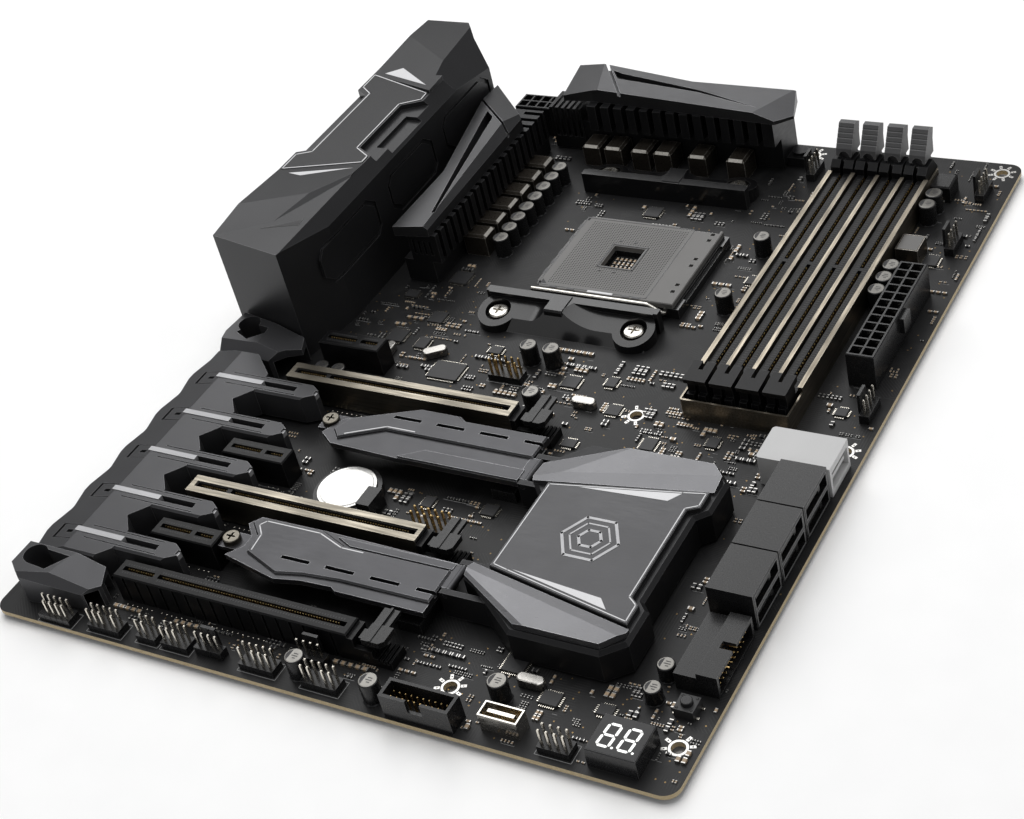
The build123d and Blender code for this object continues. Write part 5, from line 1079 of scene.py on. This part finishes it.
def on_backplate(x, y, margin):
    """True near the cooler's backplate, where nothing else stands below the board."""
    return all(low - margin < p < high + margin for p, (low, high) in zip((x, y), BACKPLATE))


def joint(x, y, radius=0.62):
    """A solder fillet round a pin end below the board."""
    if on_backplate(x, y, 0.5):
        return
    low = -BOARD_T - 1.1
    fillet = [(0.2, low), (0.28, low + 0.25), (radius * 0.6, -BOARD_T - 0.4), (radius, -BOARD_T + 0.02)]
    under.disc(x, y, fillet, 8, "pin")


for number in range(1, 5):
    (x0, x1), (y0, y1), _ = span(f"dimm_slot_{number}")
    for i in range(int((y1 - y0 - 20) / 1.7)):
        for row in (-2.2, -0.8, 0.8, 2.2):
            joint((x0 + x1) / 2 + row, y0 + 10 + i * 1.7 + (0.85 if abs(row) < 1 else 0), 0.42)
for name in ALL_SLOTS:
    for (x0, x1), (y0, y1), _ in islands(name):
        for i in range(round((min(x1 - x0, LONG_SLOT) - 5) / 2)):
            for row in (-2.6, -1.0, 1.0, 2.6):
                joint(x0 + 3 + i * 2 + (1 if abs(row) < 2 else 0), (y0 + y1) / 2 + row, 0.42)
JOINT_STEPS = {
    "atx_power_socket": POWER_PITCH, "eps_power_socket": POWER_PITCH, "pin_headers": PIN_PITCH,
    "sata_stacks": 2.6, "u2_connector": 2.4, "usb3_headers": 2.0, "io_ports": 4.4,
}
for name, step in JOINT_STEPS.items():
    for (x0, x1), (y0, y1), _ in islands(name):
        for i in range(max(1, int((x1 - x0) / step))):
            for j in range(max(1, int((y1 - y0) / step))):
                joint(max(x0, 1.5) + (i + 0.5) * step, y0 + (j + 0.5) * step, 0.75 if step > 4 else 0.5)
for name, reach in (("capacitors", 1.25), ("chokes", 2.6)):
    for (x0, x1), (y0, y1), _ in islands(name):
        for side in (-reach, reach):
            joint((x0 + x1) / 2 + side, (y0 + y1) / 2, 0.7)
for hole_x, hole_y in STANDOFFS:
    under.hoop(hole_x, hole_y, 3.3, 2.15, (-BOARD_T - 0.04, -BOARD_T + 0.01), 32, "solder")
pick = random.Random(77)
for _ in range(900):
    px, py = pick.uniform(6, BOARD_X - 6), pick.uniform(6, BOARD_Y - 6)
    if not on_backplate(px, py, 1.0):
        under.disc(px, py, [(0.26, -BOARD_T - 0.03), (0.34, -BOARD_T + 0.01)], 8, "gold")
under.build()

# --- Stage ---
FLOOR_HALF = 6.0
floor_z = CAD_BOX[0][2]
corners = [(x * FLOOR_HALF, y * FLOOR_HALF, floor_z) for x, y in ((-1, -1), (1, -1), (1, 1), (-1, 1))]
mesh = bpy.data.meshes.new("floor")
mesh.from_pydata(corners, [], [(0, 1, 2, 3)])
floor = bpy.data.objects.new("floor", mesh)
bpy.context.scene.collection.objects.link(floor)
paper = Graph("paper")
tone = paper.noise(60, 2.0)
whites = paper.mix(paper.remap(tone, 0.0, 1.0), (0.97, 0.97, 0.97, 1), (0.99, 0.99, 0.99, 1))
paper.put(paper.shader.inputs["Base Color"], whites)
paper.shader.inputs["Roughness"].default_value = 0.9
mesh.materials.append(paper.material)


def area_light(name, place, size, power):
    """A soft rectangular lamp aimed at the middle of the board."""
    data = bpy.data.lights.new(name, "AREA")
    data.shape = "RECTANGLE"
    data.size, data.size_y = size
    data.energy = power
    lamp = bpy.data.objects.new(name, data)
    lamp.location = place
    lamp.rotation_euler = (-Vector(place)).to_track_quat("-Z", "Y").to_euler()
    bpy.context.scene.collection.objects.link(lamp)


area_light("overhead", (-0.1, 0.2, 1.3), (1.2, 1.2), 12.0)
area_light("key", (-0.62, 0.8, 0.85), (0.95, 0.6), 5.6)
area_light("fill", (0.9, 0.3, 0.6), (0.7, 0.7), 1.3)
area_light("front", (-0.2, -1.0, 0.45), (0.9, 0.4), 0.9)
world = bpy.data.worlds.new("soft")
world.use_nodes = True
world.node_tree.nodes["Background"].inputs[0].default_value = (1, 1, 1, 1)
world.node_tree.nodes["Background"].inputs[1].default_value = 0.26
bpy.context.scene.world = world
bpy.context.scene.view_settings.view_transform = "Standard"

# --- Camera ---
CAMERA_PLACE = (435.62, -270.48, 391.06)
CAMERA_RIGHT = (0.85949, 0.46770, -0.20624)
CAMERA_UP = (-0.15473, 0.62260, 0.76707)
CAMERA_BACK = (0.4871, -0.6274, 0.6075)
camera_data = bpy.data.cameras.new("camera")
camera_data.lens = 67.49
camera_data.sensor_width = 36.0
camera_data.clip_start = 0.01
camera = bpy.data.objects.new("camera", camera_data)
axes = Matrix(list(zip(CAMERA_RIGHT, CAMERA_UP, CAMERA_BACK)))
camera.matrix_world = Matrix.Translation(at(*CAMERA_PLACE)) @ axes.to_4x4()
bpy.context.scene.collection.objects.link(camera)
bpy.context.scene.camera = camera
